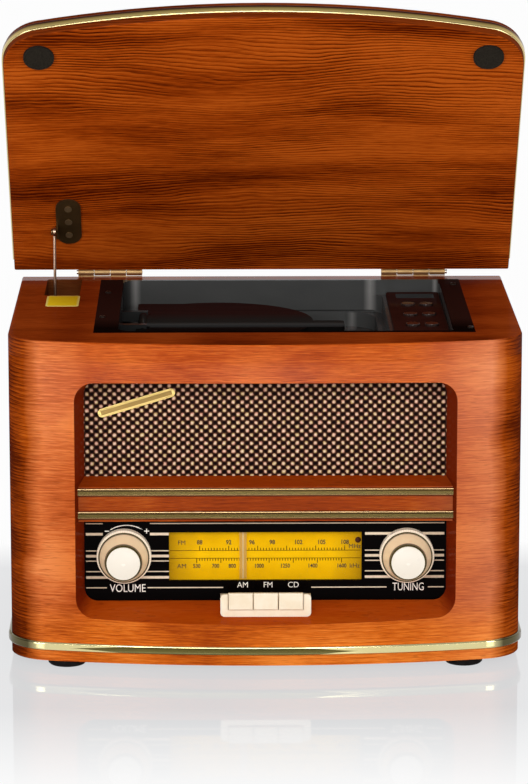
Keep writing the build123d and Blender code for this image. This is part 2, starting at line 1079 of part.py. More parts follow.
# ---------------------------------------------------------------- loudspeakers
speakers = []
for x, z in speaker_points:
    with BuildPart() as speaker:
        revolve(
            turned(
                (x, baffle_back_y, z),
                [
                    (0, speaker_depth),
                    (speaker_magnet / 2, speaker_depth),
                    (speaker_magnet / 2, speaker_depth - 9),
                    (speaker_cone / 4, speaker_depth - 10),
                    (speaker_cone / 2, 2 * speaker_flange_thickness),
                    (speaker_flange / 2, speaker_flange_thickness),
                    (speaker_flange / 2, 0),
                    (speaker_cone / 2, 0),
                    (speaker_cone / 2, 1.5),
                    (speaker_cone / 4, speaker_depth - 12),
                    (0, speaker_depth - 12),
                ],
            ),
            axis=Axis((x, 0, z), (0, 1, 0)),
        )
    speakers.append(speaker)
left_speaker, right_speaker = speakers

with BuildPart() as speaker_cones:
    for x, z in speaker_points:
        revolve(
            turned(
                (x, baffle_back_y, z),
                [
                    (0, cone_depth),
                    (cone_centre, 1.15 * cone_depth),
                    (speaker_cone / 2 - 1.5 * cone_rim, cone_rim),
                    (speaker_cone / 2, cone_rim),
                    (speaker_cone / 2, cone_rim + 0.8 * cone_skin),
                    (speaker_cone / 2 - cone_rim, cone_rim + 0.8 * cone_skin),
                    (cone_centre + 0.3 * cone_skin, 1.15 * cone_depth + cone_skin),
                    (0, cone_depth + cone_skin),
                ],
            ),
            axis=Axis((x, 0, z), (0, 1, 0)),
        )

# ---------------------------------------------------------------- deck tray
door_y = front_y + disc_y
ear_half = door_barrel_length / 2 + door_ear_gap
pivot_z = top_z - door_pivot_drop
sled_x = disc_x + sled_inner_radius
slot_left = sled_x - sled_length / 2 - sled_end_gap
slot_right = sled_x + sled_travel + sled_length / 2 + sled_end_gap
slot_half = sled_width / 2 + sled_side_gap
key_centres = [(x, front_y + y) for y in cd_key_rows for x in cd_key_columns]
keys_floor_z = top_z - keys_floor
with BuildPart() as deck_tray:
    extrude(deck_plan, amount=-deck_flange)
    extrude(
        block(
            level(top_z - well_depth - deck_wall),
            well_left - deck_wall,
            well_right + deck_wall,
            front_y + well_front - deck_wall,
            front_y + well_back + deck_wall,
            well_radius + deck_wall,
        ),
        amount=well_depth,
    )
    extrude(
        block(
            level(keys_floor_z - deck_wall),
            well_right - well_radius,
            keys_right + deck_wall,
            front_y + well_front - deck_wall,
            front_y + well_back + deck_wall,
            keys_radius + deck_wall,
        ),
        amount=keys_floor,
    )
    extrude(
        block(
            level(top_z - bay_depth - deck_wall),
            well_left - deck_wall,
            bay_right + deck_wall,
            front_y + bay_front - deck_wall,
            front_y + bay_back + deck_wall,
            bay_radius + deck_wall,
        ),
        amount=bay_depth - well_depth,
    )
    extrude(
        block(
            level(top_z),
            well_left,
            well_right,
            front_y + well_front,
            front_y + well_back,
            well_radius,
        ),
        amount=-well_depth,
        mode=Mode.SUBTRACT,
    )
    extrude(
        block(
            level(top_z),
            well_right - well_radius,
            keys_right,
            front_y + well_front,
            front_y + well_back,
            keys_radius,
        ),
        amount=-keys_floor,
        mode=Mode.SUBTRACT,
    )
    extrude(
        block(
            level(top_z - well_depth),
            well_left,
            bay_right,
            front_y + bay_front,
            front_y + bay_back,
            bay_radius,
        ),
        amount=-(bay_depth - well_depth),
        mode=Mode.SUBTRACT,
    )
    # ears that carry the door pivot stand out from the left wall
    for side in (-1, 1):
        near, far = sorted((side * ear_half, side * (ear_half + door_ear_width)))
        extrude(
            block(
                level(top_z - door_ear_drop - door_ear_depth),
                well_left - deck_wall / 2,
                door_pivot_x + door_barrel / 2,
                door_y + near,
                door_y + far,
            ),
            amount=door_ear_depth,
        )
    with BuildSketch(upright(door_y + ear_half + door_ear_width)):
        with Locations((door_pivot_x, pivot_z)):
            Circle(door_pin / 2 + running_fit)
    extrude(amount=2 * (ear_half + door_ear_width), mode=Mode.SUBTRACT)
    # a post under the door's finger tab
    post_x = disc_x + door_tab_reach - 6
    with BuildSketch(level(top_z - bay_depth)):
        with Locations((post_x, front_y + door_tab_y)):
            Rectangle(6, 10)
    extrude(amount=bay_depth - door_drop - door_thickness - door_rest_gap)
    # openings in the bay floor for the spindle and the pickup
    extrude(
        disc(level(top_z - bay_depth), spindle_shaft * 2, (disc_x, door_y)),
        amount=-deck_wall,
        mode=Mode.SUBTRACT,
    )
    extrude(
        block(
            level(top_z - bay_depth),
            slot_left,
            slot_right,
            door_y - slot_half,
            door_y + slot_half,
        ),
        amount=-deck_wall,
        mode=Mode.SUBTRACT,
    )
    extrude(
        disc(level(keys_floor_z), cd_key_stem / 2 + running_fit, *key_centres),
        amount=-deck_wall,
        mode=Mode.SUBTRACT,
    )

with BuildPart() as control_panel:
    extrude(
        block(
            level(keys_floor_z),
            well_right + deck_wall,
            keys_right - keys_panel_margin,
            front_y + well_front + keys_panel_margin,
            front_y + well_back - keys_panel_margin,
            keys_radius - keys_panel_margin,
        ),
        amount=keys_panel,
    )
    extrude(
        disc(level(keys_floor_z), cd_key / 2 + cd_key_clearance, *key_centres),
        amount=keys_panel,
        mode=Mode.SUBTRACT,
    )
    display_plan = block(
        level(keys_floor_z),
        display_x - display_width / 2,
        display_x + display_width / 2,
        front_y + display_y - display_length / 2,
        front_y + display_y + display_length / 2,
    )
    extrude(display_plan, amount=keys_panel, mode=Mode.SUBTRACT)

with BuildPart() as display_window:
    extrude(display_plan, amount=keys_panel)

cd_keys = []
for x, y in key_centres:
    with BuildPart() as cd_key_part:
        cap_low = keys_floor_z + cd_key_travel + cd_key_floor_gap
        cap_top = keys_floor_z + keys_panel + cd_key_proud
        extrude(disc(level(cap_top), cd_key / 2, (x, y)), amount=cap_low - cap_top)
        fillet(cd_key_part.edges().group_by(Axis.Z)[-1], cd_key_edge)
        extrude(
            disc(level(cap_low), cd_key_stem / 2, (x, y)),
            amount=-cd_key_stem_length,
        )
    cd_keys.append(cd_key_part)

# ---------------------------------------------------------------- CD door
with BuildPart() as cd_door:
    door_z = top_z - door_drop
    extrude(disc(level(door_z), door_radius, (disc_x, door_y)), amount=-door_thickness)
    extrude(
        block(
            level(door_z),
            door_left,
            disc_x,
            front_y + door_corner_front,
            front_y + door_corner_back,
            2.0,
        ),
        amount=-door_thickness,
    )
    extrude(
        block(
            level(door_z),
            disc_x,
            disc_x + door_tab_reach,
            front_y + door_tab_y - door_tab_width / 2,
            front_y + door_tab_y + door_tab_width / 2,
            4.0,
        ),
        amount=-door_thickness,
    )
    extrude(
        block(
            level(door_z),
            disc_x - door_radius - 1,
            door_left,
            door_y - door_radius,
            door_y + door_radius,
        ),
        amount=-door_thickness,
        mode=Mode.SUBTRACT,
    )
    extrude(
        block(
            level(door_z),
            door_left - 1,
            door_pivot_x + door_barrel / 2 + door_notch,
            door_y - ear_half - door_ear_width - door_notch,
            door_y + ear_half + door_ear_width + door_notch,
        ),
        amount=-door_thickness,
        mode=Mode.SUBTRACT,
    )
    extrude(
        block(
            level(door_z),
            door_pivot_x,
            door_pivot_x + door_barrel,
            door_y - door_barrel_length / 2,
            door_y + door_barrel_length / 2,
        ),
        amount=-door_thickness,
    )
    with BuildSketch(upright(door_y + door_barrel_length / 2)):
        with Locations((door_pivot_x, pivot_z)):
            Circle(door_barrel / 2)
    extrude(amount=door_barrel_length)
    pin_half = ear_half + door_ear_width - 0.5
    with BuildSketch(upright(door_y + pin_half)):
        with Locations((door_pivot_x, pivot_z)):
            Circle(door_pin / 2)
    extrude(amount=2 * pin_half)

# ---------------------------------------------------------------- CD mechanism
mechanism_z = top_z - bay_depth - deck_wall
rail_place = (door_y + sled_rod_offset, top_z - sled_rod_drop)
with BuildPart() as cd_mechanism:
    extrude(
        block(
            level(mechanism_z),
            disc_x - mechanism_reach,
            slot_right + mechanism_rim,
            door_y - mechanism_depth / 2,
            door_y + mechanism_depth / 2,
            mechanism_radius,
        ),
        amount=-mechanism_height,
    )
    extrude(
        block(
            level(mechanism_z),
            slot_left,
            slot_right,
            door_y - slot_half,
            door_y + slot_half,
        ),
        amount=-mechanism_height,
        mode=Mode.SUBTRACT,
    )
    with BuildSketch(across(slot_left - 2)):
        with Locations(rail_place):
            Circle(sled_rod / 2)
    extrude(amount=slot_right - slot_left + 4)
    extrude(
        disc(level(mechanism_z - mechanism_height), motor_diameter / 2, (disc_x, door_y)),
        amount=-motor_height,
    )
    extrude(
        disc(level(mechanism_z), spindle_shaft / 2 + running_fit, (disc_x, door_y)),
        amount=-(mechanism_height + motor_height - 2),
        mode=Mode.SUBTRACT,
    )

with BuildPart() as cd_spindle:
    hub_z = top_z - spindle_hub_drop
    extrude(disc(level(hub_z), spindle_hub / 2, (disc_x, door_y)), amount=-spindle_hub_thickness)
    extrude(disc(level(hub_z), spindle_boss / 2, (disc_x, door_y)), amount=spindle_boss_height)
    fillet(cd_spindle.edges().group_by(Axis.Z)[-1], 1.2)
    extrude(
        disc(level(hub_z - spindle_hub_thickness), spindle_shaft / 2, (disc_x, door_y)),
        amount=-spindle_length,
    )

with BuildPart() as pickup_sled:
    extrude(
        block(
            level(top_z - sled_drop),
            sled_x - sled_length / 2,
            sled_x + sled_length / 2,
            door_y - sled_width / 2,
            door_y + sled_width / 2,
            1.5,
        ),
        amount=-sled_height,
    )
    extrude(disc(level(top_z - sled_drop), lens_diameter / 2, (sled_x, door_y)), amount=0.6)
    with BuildSketch(across(sled_x - sled_length)):
        with Locations(rail_place):
            Circle(sled_rod / 2 + running_fit)
    extrude(amount=2 * sled_length, mode=Mode.SUBTRACT)

# ---------------------------------------------------------------- lid
def lid_reach(edge):
    """How far an edge's centre lies ahead of the lid's rear edge."""
    return -lid_plane.to_local_coords(edge.center()).Y


def lid_level(edge):
    """How far an edge's centre lies above the lid's underside."""
    return lid_plane.to_local_coords(edge.center()).Z


with BuildPart() as lid_board:
    extrude(bowed(lid_plane, lid_plan, 0), amount=lid_thickness)
    middle = lid_thickness / 2
    rim = [
        edge
        for edge in lid_board.edges()
        if lid_reach(edge) > 0.1 and abs(lid_level(edge) - middle) > middle - 0.1
    ]
    fillet(rim, lid_edge_radius)
    extrude(
        bowed(lid_plane.offset(trim_rise), grown(lid_plan, 1), -trim_end),
        amount=trim_height,
        mode=Mode.SUBTRACT,
    )
    extrude(
        bowed(lid_plane.offset(trim_rise), grown(lid_plan, -trim_inset), -trim_end / 2),
        amount=trim_height,
    )

with BuildPart() as lid_brass_trim:
    extrude(
        bowed(lid_plane.offset(trim_rise), grown(lid_plan, trim_proud), -trim_end),
        amount=trim_height,
    )
    middle = trim_rise + trim_height / 2
    rim = [
        edge
        for edge in lid_brass_trim.edges()
        if lid_reach(edge) > trim_end + 0.1
        and abs(lid_level(edge) - middle) > trim_height / 2 - 0.1
    ]
    fillet(rim, trim_edge_radius)
    extrude(
        bowed(lid_plane.offset(trim_rise), grown(lid_plan, -trim_inset), 0),
        amount=trim_height,
        mode=Mode.SUBTRACT,
    )

with BuildPart() as lid_pads:
    extrude(
        disc(lid_plane, pad_diameter / 2, (-pad_x, -pad_reach), (pad_x, -pad_reach)),
        amount=-(lid_gap - pad_clearance),
    )

# ---------------------------------------------------------------- hinges
# each leaf lies on a rear face: the cabinet's below the barrel, the lid's above it
pitch = (hinge_width + hinge_knuckle_gap) / hinge_knuckles
knuckle = pitch - hinge_knuckle_gap
leaf_top = axis_z - hinge_barrel / 2 - hinge_leaf_relief
barrel_level = hinge_height - lid_gap
lid_leaf_start = barrel_level + hinge_leaf / 2


def knuckle_starts(side, first):
    """Left ends of every second knuckle of one hinge."""
    left = side * hinge_x - hinge_width / 2
    return [left + place * pitch for place in range(first, hinge_knuckles, 2)]


with BuildPart() as cabinet_hinge_leaves:
    for side in (-1, 1):
        left = side * hinge_x - hinge_width / 2
        extrude(
            block(
                upright(back_y + hinge_leaf),
                left,
                left + hinge_width,
                top_z - hinge_leaf_length,
                leaf_top,
            ),
            amount=hinge_leaf,
        )
        for start in knuckle_starts(side, 0):
            extrude(
                block(
                    upright(back_y + hinge_leaf), start, start + knuckle, top_z, axis_z
                ),
                amount=hinge_leaf,
            )
            extrude(
                disc(across(start), hinge_barrel / 2, (axis_y, axis_z)), amount=knuckle
            )
            extrude(
                disc(across(start), hinge_pin / 2, (axis_y, axis_z)),
                amount=knuckle,
                mode=Mode.SUBTRACT,
            )

with BuildPart() as lid_hinge_leaves:
    for side in (-1, 1):
        left = side * hinge_x - hinge_width / 2
        extrude(
            block(
                lid_plane.offset(lid_leaf_start - hinge_leaf),
                left,
                left + hinge_width,
                0,
                hinge_leaf,
            ),
            amount=hinge_leaf_length,
        )
        for start in knuckle_starts(side, 1):
            extrude(
                block(
                    lid_plane.offset(lid_leaf_start - hinge_leaf),
                    start,
                    start + knuckle,
                    0,
                    lid_edge_to_axis,
                ),
                amount=hinge_leaf,
            )
            extrude(
                disc(across(start), hinge_barrel / 2, (axis_y, axis_z)), amount=knuckle
            )
            extrude(
                disc(across(start), hinge_pin / 2 + running_fit, (axis_y, axis_z)),
                amount=knuckle,
                mode=Mode.SUBTRACT,
            )

with BuildPart() as hinge_pins:
    for side in (-1, 1):
        left = side * hinge_x - hinge_width / 2
        extrude(
            disc(across(left), hinge_pin / 2, (axis_y, axis_z)),
            amount=hinge_width + hinge_knuckle_gap,
        )
        head = left if side < 0 else left + hinge_width + hinge_knuckle_gap
        extrude(
            disc(across(head), hinge_pin_head / 2, (axis_y, axis_z)), amount=side * 1.0
        )

# ---------------------------------------------------------------- stay
pivot_local = Vector(0, -stay_pivot_reach, -stay_pivot_rise)
pivot_world = lid_plane.from_local_coords(pivot_local)
ear_x = bracket_x - bracket_width / 2
eye_right = ear_x - stay_side_gap
eye_left = eye_right - stay_eye_thickness
wire_x = (eye_left + eye_right) / 2
with BuildPart() as stay_bracket:
    with BuildSketch(lid_plane):
        with Locations((bracket_x, -bracket_reach)):
            SlotOverall(bracket_length, bracket_width, rotation=90)
            with GridLocations(1, bracket_screw_pitch, 1, 3):
                Circle(bracket_screw_shank / 2, mode=Mode.SUBTRACT)
    extrude(amount=-bracket_thickness)
    extrude(
        block(
            lid_plane,
            ear_x,
            ear_x + bracket_thickness,
            -stay_pivot_reach - ear_length / 2,
            -stay_pivot_reach + ear_length / 2,
        ),
        amount=-(stay_pivot_rise + stay_eye / 2),
    )
    extrude(
        disc(
            across(eye_left - stay_side_gap),
            stay_pivot_pin / 2,
            (pivot_world.Y, pivot_world.Z),
        ),
        amount=ear_x - eye_left + stay_side_gap,
    )
    extrude(
        disc(
            across(eye_left - stay_side_gap), stay_head / 2, (pivot_world.Y, pivot_world.Z)
        ),
        amount=-stay_head_thickness,
    )

with BuildPart() as stay_bracket_screws:
    with BuildSketch(lid_plane.offset(-bracket_thickness)):
        with Locations((bracket_x, -bracket_reach)):
            with GridLocations(1, bracket_screw_pitch, 1, 3):
                Circle(bracket_screw / 2)
    extrude(amount=-bracket_screw_head)
    with BuildSketch(lid_plane.offset(-bracket_thickness)):
        with Locations((bracket_x, -bracket_reach)):
            with GridLocations(1, bracket_screw_pitch, 1, 3):
                Circle(bracket_screw_shank / 2)
    extrude(amount=bracket_screw_length)

# holes for the bracket screws
with BuildPart(mode=Mode.PRIVATE) as drilled_lid:
    add(lid_board.part)
    add(stay_bracket_screws.part, mode=Mode.SUBTRACT)
lid_board = drilled_lid

hook_y = pivot_world.Y
hook_z = pivot_world.Z - stay_length
with BuildPart() as stay_wire_rod:
    with BuildLine() as wire_path:
        FilletPolyline(
            (wire_x, hook_y, pivot_world.Z - stay_eye / 3),
            (wire_x, hook_y, hook_z),
            (guide_x - stay_wire / 2, hook_y, hook_z),
            radius=stay_bend,
        )
    with BuildSketch(Plane(origin=wire_path.line @ 0, z_dir=wire_path.line % 0)):
        Circle(stay_wire / 2)
    sweep()
    extrude(
        disc(across(eye_left), stay_eye / 2, (pivot_world.Y, pivot_world.Z)),
        amount=stay_eye_thickness,
    )
    extrude(
        disc(
            across(eye_left - stay_wire),
            stay_pivot_pin / 2 + running_fit,
            (pivot_world.Y, pivot_world.Z),
        ),
        amount=3 * stay_wire,
        mode=Mode.SUBTRACT,
    )

# the hook rides an arc about the point one stay length under the hinge axis
arc_y = axis_y
arc_z = axis_z - stay_length
arc_radius = math.hypot(hook_y - arc_y, hook_z - arc_z)
hook_angle = math.degrees(math.atan2(hook_z - arc_z, hook_y - arc_y))
hook_path = CenterArc((arc_y, arc_z), arc_radius, hook_angle, lid_open_angle)
with BuildPart() as stay_guide:
    guide_top = top_z - top_thickness
    guide_y = front_y + (pocket_front + pocket_back) / 2
    extrude(
        block(
            across(guide_x),
            guide_y - guide_length / 2,
            guide_y + guide_length / 2,
            guide_top - guide_depth,
            guide_top,
        ),
        amount=guide_thickness,
    )
    extrude(
        block(
            level(guide_top),
            guide_x,
            guide_x + guide_flange,
            guide_y - guide_length / 2,
            guide_y + guide_length / 2,
        ),
        amount=-guide_thickness,
    )
    with BuildSketch(across(guide_x)):
        SlotArc(hook_path, guide_slot)
    extrude(amount=guide_thickness, mode=Mode.SUBTRACT)

# ---------------------------------------------------------------- electrics
with BuildPart() as main_circuit_board:
    board_z = shell_z + board_lift
    board_cy = front_y + board_y
    with BuildSketch(level(board_z)):
        with Locations((board_x, board_cy)):
            RectangleRounded(board_length, board_width, 3)
    extrude(amount=board_thickness)
    with BuildSketch(level(board_z)):
        with Locations((board_x, board_cy)):
            with GridLocations(
                board_length - 2 * post_inset, board_width - 2 * post_inset, 2, 2
            ):
                Circle(post_radius)
    extrude(amount=-board_lift)
    with BuildSketch(level(board_z + board_thickness)):
        with Locations((board_x - heatsink_side, board_cy + heatsink_back)):
            Rectangle(*part_heatsink)
        with Locations((board_x + chip_side, board_cy - chip_front)):
            Rectangle(part_chip, part_chip)
    extrude(amount=part_height_small)
    with BuildSketch(level(board_z + board_thickness)):
        with Locations((board_x, board_cy)):
            with GridLocations(*part_can_pitch, 3, 2):
                Circle(part_can)
    extrude(amount=part_height_tall)

with BuildPart() as power_transformer:
    with BuildSketch(level(shell_z)):
        with Locations((transformer_x, front_y + transformer_y)):
            Rectangle(transformer_size[0], transformer_size[1])
    extrude(amount=transformer_size[2])
    with BuildSketch(level(shell_z + winding_inset)):
        with Locations((transformer_x, front_y + transformer_y)):
            Rectangle(
                transformer_size[0] - 2 * winding_proud,
                transformer_size[1] + 2 * winding_proud,
            )
    extrude(amount=transformer_size[2] - 2 * winding_inset)

with BuildPart() as mains_inlet:
    with BuildSketch(Plane.XZ.offset(-back_y)):
        with Locations((inlet_x, inlet_z)):
            Rectangle(inlet_width, inlet_height)
    extrude(amount=inlet_depth)
    with BuildSketch(Plane.XZ.offset(-back_y)):
        with Locations((inlet_x, inlet_z)):
            Rectangle(inlet_width + 2 * inlet_flange, inlet_height + 2 * inlet_flange)
    extrude(amount=-1.5)
    with BuildSketch(Plane.XZ.offset(-back_y - 1.5)):
        with Locations((inlet_x, inlet_z)):
            SlotOverall(socket_width, socket_height)
    extrude(amount=inlet_depth - 1.5, mode=Mode.SUBTRACT)
    with BuildSketch(Plane.XZ.offset(-back_y - 1.5)):
        with Locations((inlet_x, inlet_z)):
            with GridLocations(socket_pitch, 1, 2, 1):
                Circle(socket_pin / 2)
    extrude(amount=inlet_depth - 1.0)
    cut_width, cut_height, cut_depth = socket_cut
    extrude(
        block(
            upright(back_y + 1.5),
            inlet_x - cut_width / 2,
            inlet_x + cut_width / 2,
            inlet_z - cut_height / 2,
            inlet_z + cut_height / 2,
        ),
        amount=cut_depth,
        mode=Mode.SUBTRACT,
    )

# ---------------------------------------------------------------- write the pieces
pieces = {
    "cabinet_shell": cabinet_shell,
    "top_board": top_board,
    "base_board": base_board,
    "brass_band": brass_band,
    "rubber_feet": rubber_feet,
    "rear_panel": rear_panel,
    "rear_panel_screws": rear_panel_screws,
    "front_surround": front_surround,
    "baffle_board": baffle_board,
    "grille_cloth": grille_cloth,
    "centre_bar": centre_bar,
    "upper_brass_rail": upper_brass_rail,
    "lower_brass_rail": lower_brass_rail,
    "fascia_panel": fascia_panel,
    "dial_window": dial_window,
    "dial_plate": dial_plate,
    "pointer_rail": pointer_rail,
    "dial_pointer": dial_pointer,
    "volume_knob": volume_knob,
    "volume_knob_rings": volume_knob_rings,
    "tuning_knob": tuning_knob,
    "tuning_knob_rings": tuning_knob_rings,
    "volume_control": volume_control,
    "dial_drum": dial_drum,
    "tuning_control": tuning_control,
    "button_bezel": button_bezel,
    "band_key_am": band_key_am,
    "band_key_fm": band_key_fm,
    "band_key_cd": band_key_cd,
    "band_switch": band_switch,
    "left_speaker": left_speaker,
    "right_speaker": right_speaker,
    "speaker_cones": speaker_cones,
    "deck_tray": deck_tray,
    "control_panel": control_panel,
    "display_window": display_window,
    "cd_door": cd_door,
    "cd_mechanism": cd_mechanism,
    "cd_spindle": cd_spindle,
    "pickup_sled": pickup_sled,
    "lid_board": lid_board,
    "lid_brass_trim": lid_brass_trim,
    "lid_pads": lid_pads,
    "cabinet_hinge_leaves": cabinet_hinge_leaves,
    "lid_hinge_leaves": lid_hinge_leaves,
    "hinge_pins": hinge_pins,
    "stay_bracket": stay_bracket,
    "stay_bracket_screws": stay_bracket_screws,
    "stay_wire": stay_wire_rod,
    "stay_guide": stay_guide,
    "main_circuit_board": main_circuit_board,
    "power_transformer": power_transformer,
    "mains_inlet": mains_inlet,
}
for number, key in enumerate(cd_keys, 1):
    pieces[f"cd_key_{number}"] = key

os.makedirs("parts", exist_ok=True)
for name, piece in pieces.items():
    piece.part.label = name
    export_step(piece.part, f"parts/{name}.step")
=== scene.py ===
"""Looks for a wooden table radio with a CD deck under its lid.

Metres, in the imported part's frame: +Z is up, the front faces -Y and the lid stands open.
"""
import math

import bmesh
import bpy
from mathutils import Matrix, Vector


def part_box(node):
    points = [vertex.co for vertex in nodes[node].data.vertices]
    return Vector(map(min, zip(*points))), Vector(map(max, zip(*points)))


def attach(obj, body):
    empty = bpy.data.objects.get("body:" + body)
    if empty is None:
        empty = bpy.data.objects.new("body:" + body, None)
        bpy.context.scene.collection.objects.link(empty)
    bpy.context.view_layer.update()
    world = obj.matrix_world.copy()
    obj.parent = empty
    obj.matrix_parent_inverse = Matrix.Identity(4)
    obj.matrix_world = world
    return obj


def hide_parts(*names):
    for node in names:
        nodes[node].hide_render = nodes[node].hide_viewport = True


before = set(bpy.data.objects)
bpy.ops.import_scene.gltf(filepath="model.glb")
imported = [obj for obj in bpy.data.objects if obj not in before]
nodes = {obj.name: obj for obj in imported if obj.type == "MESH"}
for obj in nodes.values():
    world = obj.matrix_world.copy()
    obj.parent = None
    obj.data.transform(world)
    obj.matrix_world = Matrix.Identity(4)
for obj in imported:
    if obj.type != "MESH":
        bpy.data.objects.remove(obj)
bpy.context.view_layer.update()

bpy.ops.object.select_all(action="DESELECT")

# ------------------------------------------------------------------ camera and studio
# A long lens two and a half metres off, a little above the lid. One soft box hangs over
# the camera and bright cards lie at each side; the floor is polished white acrylic.
CAMERA_PLACE = (-0.0304, -2.5081, 0.6916)
CAMERA_DIP = 0.2114
CAMERA_TURN = -0.0122
bpy.ops.object.camera_add(
    location=CAMERA_PLACE, rotation=(math.pi / 2 - CAMERA_DIP, 0, CAMERA_TURN)
)
camera = bpy.context.object
camera.data.sensor_fit = "VERTICAL"
camera.data.sensor_height = 36.0
camera.data.lens = 182.85
bpy.context.scene.camera = camera
bpy.context.scene.view_settings.view_transform = "Standard"


class Number:
    """A number socket of a node. Python's operators on it add Math nodes."""

    def __init__(self, shades, socket):
        self.shades = shades
        self.socket = socket

    def maths(self, operation, *others, clamp=False):
        settings = {"operation": operation, "use_clamp": clamp}
        values = dict(enumerate((self, *others)))
        node = self.shades.add("ShaderNodeMath", settings, values)
        return Number(self.shades, node.outputs[0])

    def __add__(self, other):
        return self.maths("ADD", other)

    def __sub__(self, other):
        return self.maths("SUBTRACT", other)

    def __rsub__(self, other):
        return self.maths("MULTIPLY_ADD", -1, other)

    def __mul__(self, other):
        return self.maths("MULTIPLY", other)

    def __truediv__(self, other):
        return self.maths("DIVIDE", other)

    __radd__ = __add__
    __rmul__ = __mul__

    def size(self):
        """The number without its sign."""
        return self.maths("ABSOLUTE")

    def above(self, edge, soft):
        """0 below the edge and 1 above it, with a ramp of that width between."""
        return self.maths("MULTIPLY_ADD", 1 / soft, 0.5 - edge / soft, clamp=True)

    def near(self, centre, half, soft):
        """1 within half of the centre and 0 further off."""
        return 1 - (self - centre).size().above(half, soft)

    def most(self, other):
        """The larger of the two."""
        return self.maths("MAXIMUM", other)


class Shades:
    """The nodes that colour a material or the world, on one set of coordinates."""

    def __init__(self, tree, coordinates):
        self.tree = tree
        self.place = self.add("ShaderNodeTexCoord").outputs[coordinates]

    def add(self, kind, settings=None, values=None):
        """One node: its settings first, then the values or links of its sockets."""
        node = self.tree.nodes.new(kind)
        for name, value in (settings or {}).items():
            if name == "stops":
                self.set_stops(node.color_ramp.elements, value)
            else:
                setattr(node, name, value)
        for name, value in (values or {}).items():
            self.put(node.inputs[name], value)
        return node

    def set_stops(self, elements, stops):
        """Gives a colour ramp its stops: the two ends first, then those between."""
        elements[0].position = stops[0][0]
        elements[-1].position = stops[-1][0]
        for position, _ in stops[1:-1]:
            elements.new(position)
        for element, (_, colour) in zip(elements, stops):
            element.color = (*colour, 1)

    def put(self, socket, value):
        """Links a socket or a Number, or sets a plain value."""
        if isinstance(value, Number):
            value = value.socket
        if isinstance(value, bpy.types.NodeSocket):
            self.tree.links.new(value, socket)
        elif isinstance(value, tuple) and socket.type == "RGBA":
            socket.default_value = (*value, 1)
        else:
            socket.default_value = value

    def axes(self, place=None):
        """The three coordinates as numbers."""
        split = self.add("ShaderNodeSeparateXYZ", None, {0: place or self.place})
        return [Number(self, split.outputs[axis]) for axis in range(3)]

    def join(self, x, y, z):
        """A place made of three numbers."""
        return self.add("ShaderNodeCombineXYZ", None, {0: x, 1: y, 2: z}).outputs[0]

    def ramp(self, factor, *stops):
        """A colour picked from the stops, each of which is a position and a colour."""
        return self.add("ShaderNodeValToRGB", {"stops": stops}, {0: factor}).outputs[0]

    def mix(self, factor, low, high):
        """The low colour where the factor is 0, and the high one where it is 1."""
        values = {0: factor, 6: low, 7: high}
        return self.add("ShaderNodeMix", {"data_type": "RGBA"}, values).outputs[2]


class Look(Shades):
    """A material round one Principled shader, with patterns on Object coordinates."""

    def __init__(self, name, colour=(0.5, 0.5, 0.5), **sockets):
        self.material = bpy.data.materials.new(name)
        self.material.use_nodes = True
        super().__init__(self.material.node_tree, "Object")
        self.shader = self.tree.nodes["Principled BSDF"]
        self.shader.inputs["Base Color"].default_value = (*colour, 1)
        for socket, value in sockets.items():
            self.shader.inputs[socket.replace("_", " ")].default_value = value

    def turned(self, turn, centre=(0, 0, 0), place=None):
        """The coordinates as seen by a piece that is centred and turned like this."""
        settings = {"vector_type": "TEXTURE"}
        values = {"Vector": place or self.place, "Location": centre, "Rotation": turn}
        return self.add("ShaderNodeMapping", settings, values).outputs[0]

    def stretched(self, x, y, z):
        """The coordinates multiplied, so that a pattern is that fine on each axis."""
        values = {"Vector": self.place, "Scale": (x, y, z)}
        return self.add("ShaderNodeMapping", None, values).outputs[0]

    def noise(self, place, detail=2, rough=0.5):
        values = {"Vector": place, "Scale": 1, "Detail": detail, "Roughness": rough}
        return Number(self, self.add("ShaderNodeTexNoise", None, values).outputs["Fac"])

    def specks(self, fine, detail=2, rough=0.5):
        """Noise that is equally fine on all three axes."""
        return self.noise(self.stretched(fine, fine, fine), detail, rough)

    def colour(self, value):
        self.put(self.shader.inputs["Base Color"], value)

    def colour_so_far(self):
        return self.shader.inputs["Base Color"].links[0].from_socket

    def rough(self, value):
        self.put(self.shader.inputs["Roughness"], value)

    def coat(self, value):
        self.put(self.shader.inputs["Coat Weight"], value)

    def glow(self, colour, strength):
        self.put(self.shader.inputs["Emission Color"], colour)
        self.shader.inputs["Emission Strength"].default_value = strength

    def bump(self, height, depth):
        values = {"Height": height, "Strength": 1.0, "Distance": depth}
        relief = self.add("ShaderNodeBump", None, values).outputs[0]
        self.put(self.shader.inputs["Normal"], relief)


# Round the cabinet the floor is glossy and takes its shadow. Further off it is plain
# white, and what isn't seen straight or in a gloss lights the cabinet as a matt card.
FOOTPRINT_HALF_WIDE = 0.16
FOOTPRINT_BACK = 0.11
FOOTPRINT_FRONT = -0.12
floor_look = Look("white_acrylic")


def acrylic(kind, values):
    """One layer or join of the floor's finish."""
    return floor_look.add("ShaderNode" + kind, None, values).outputs[0]


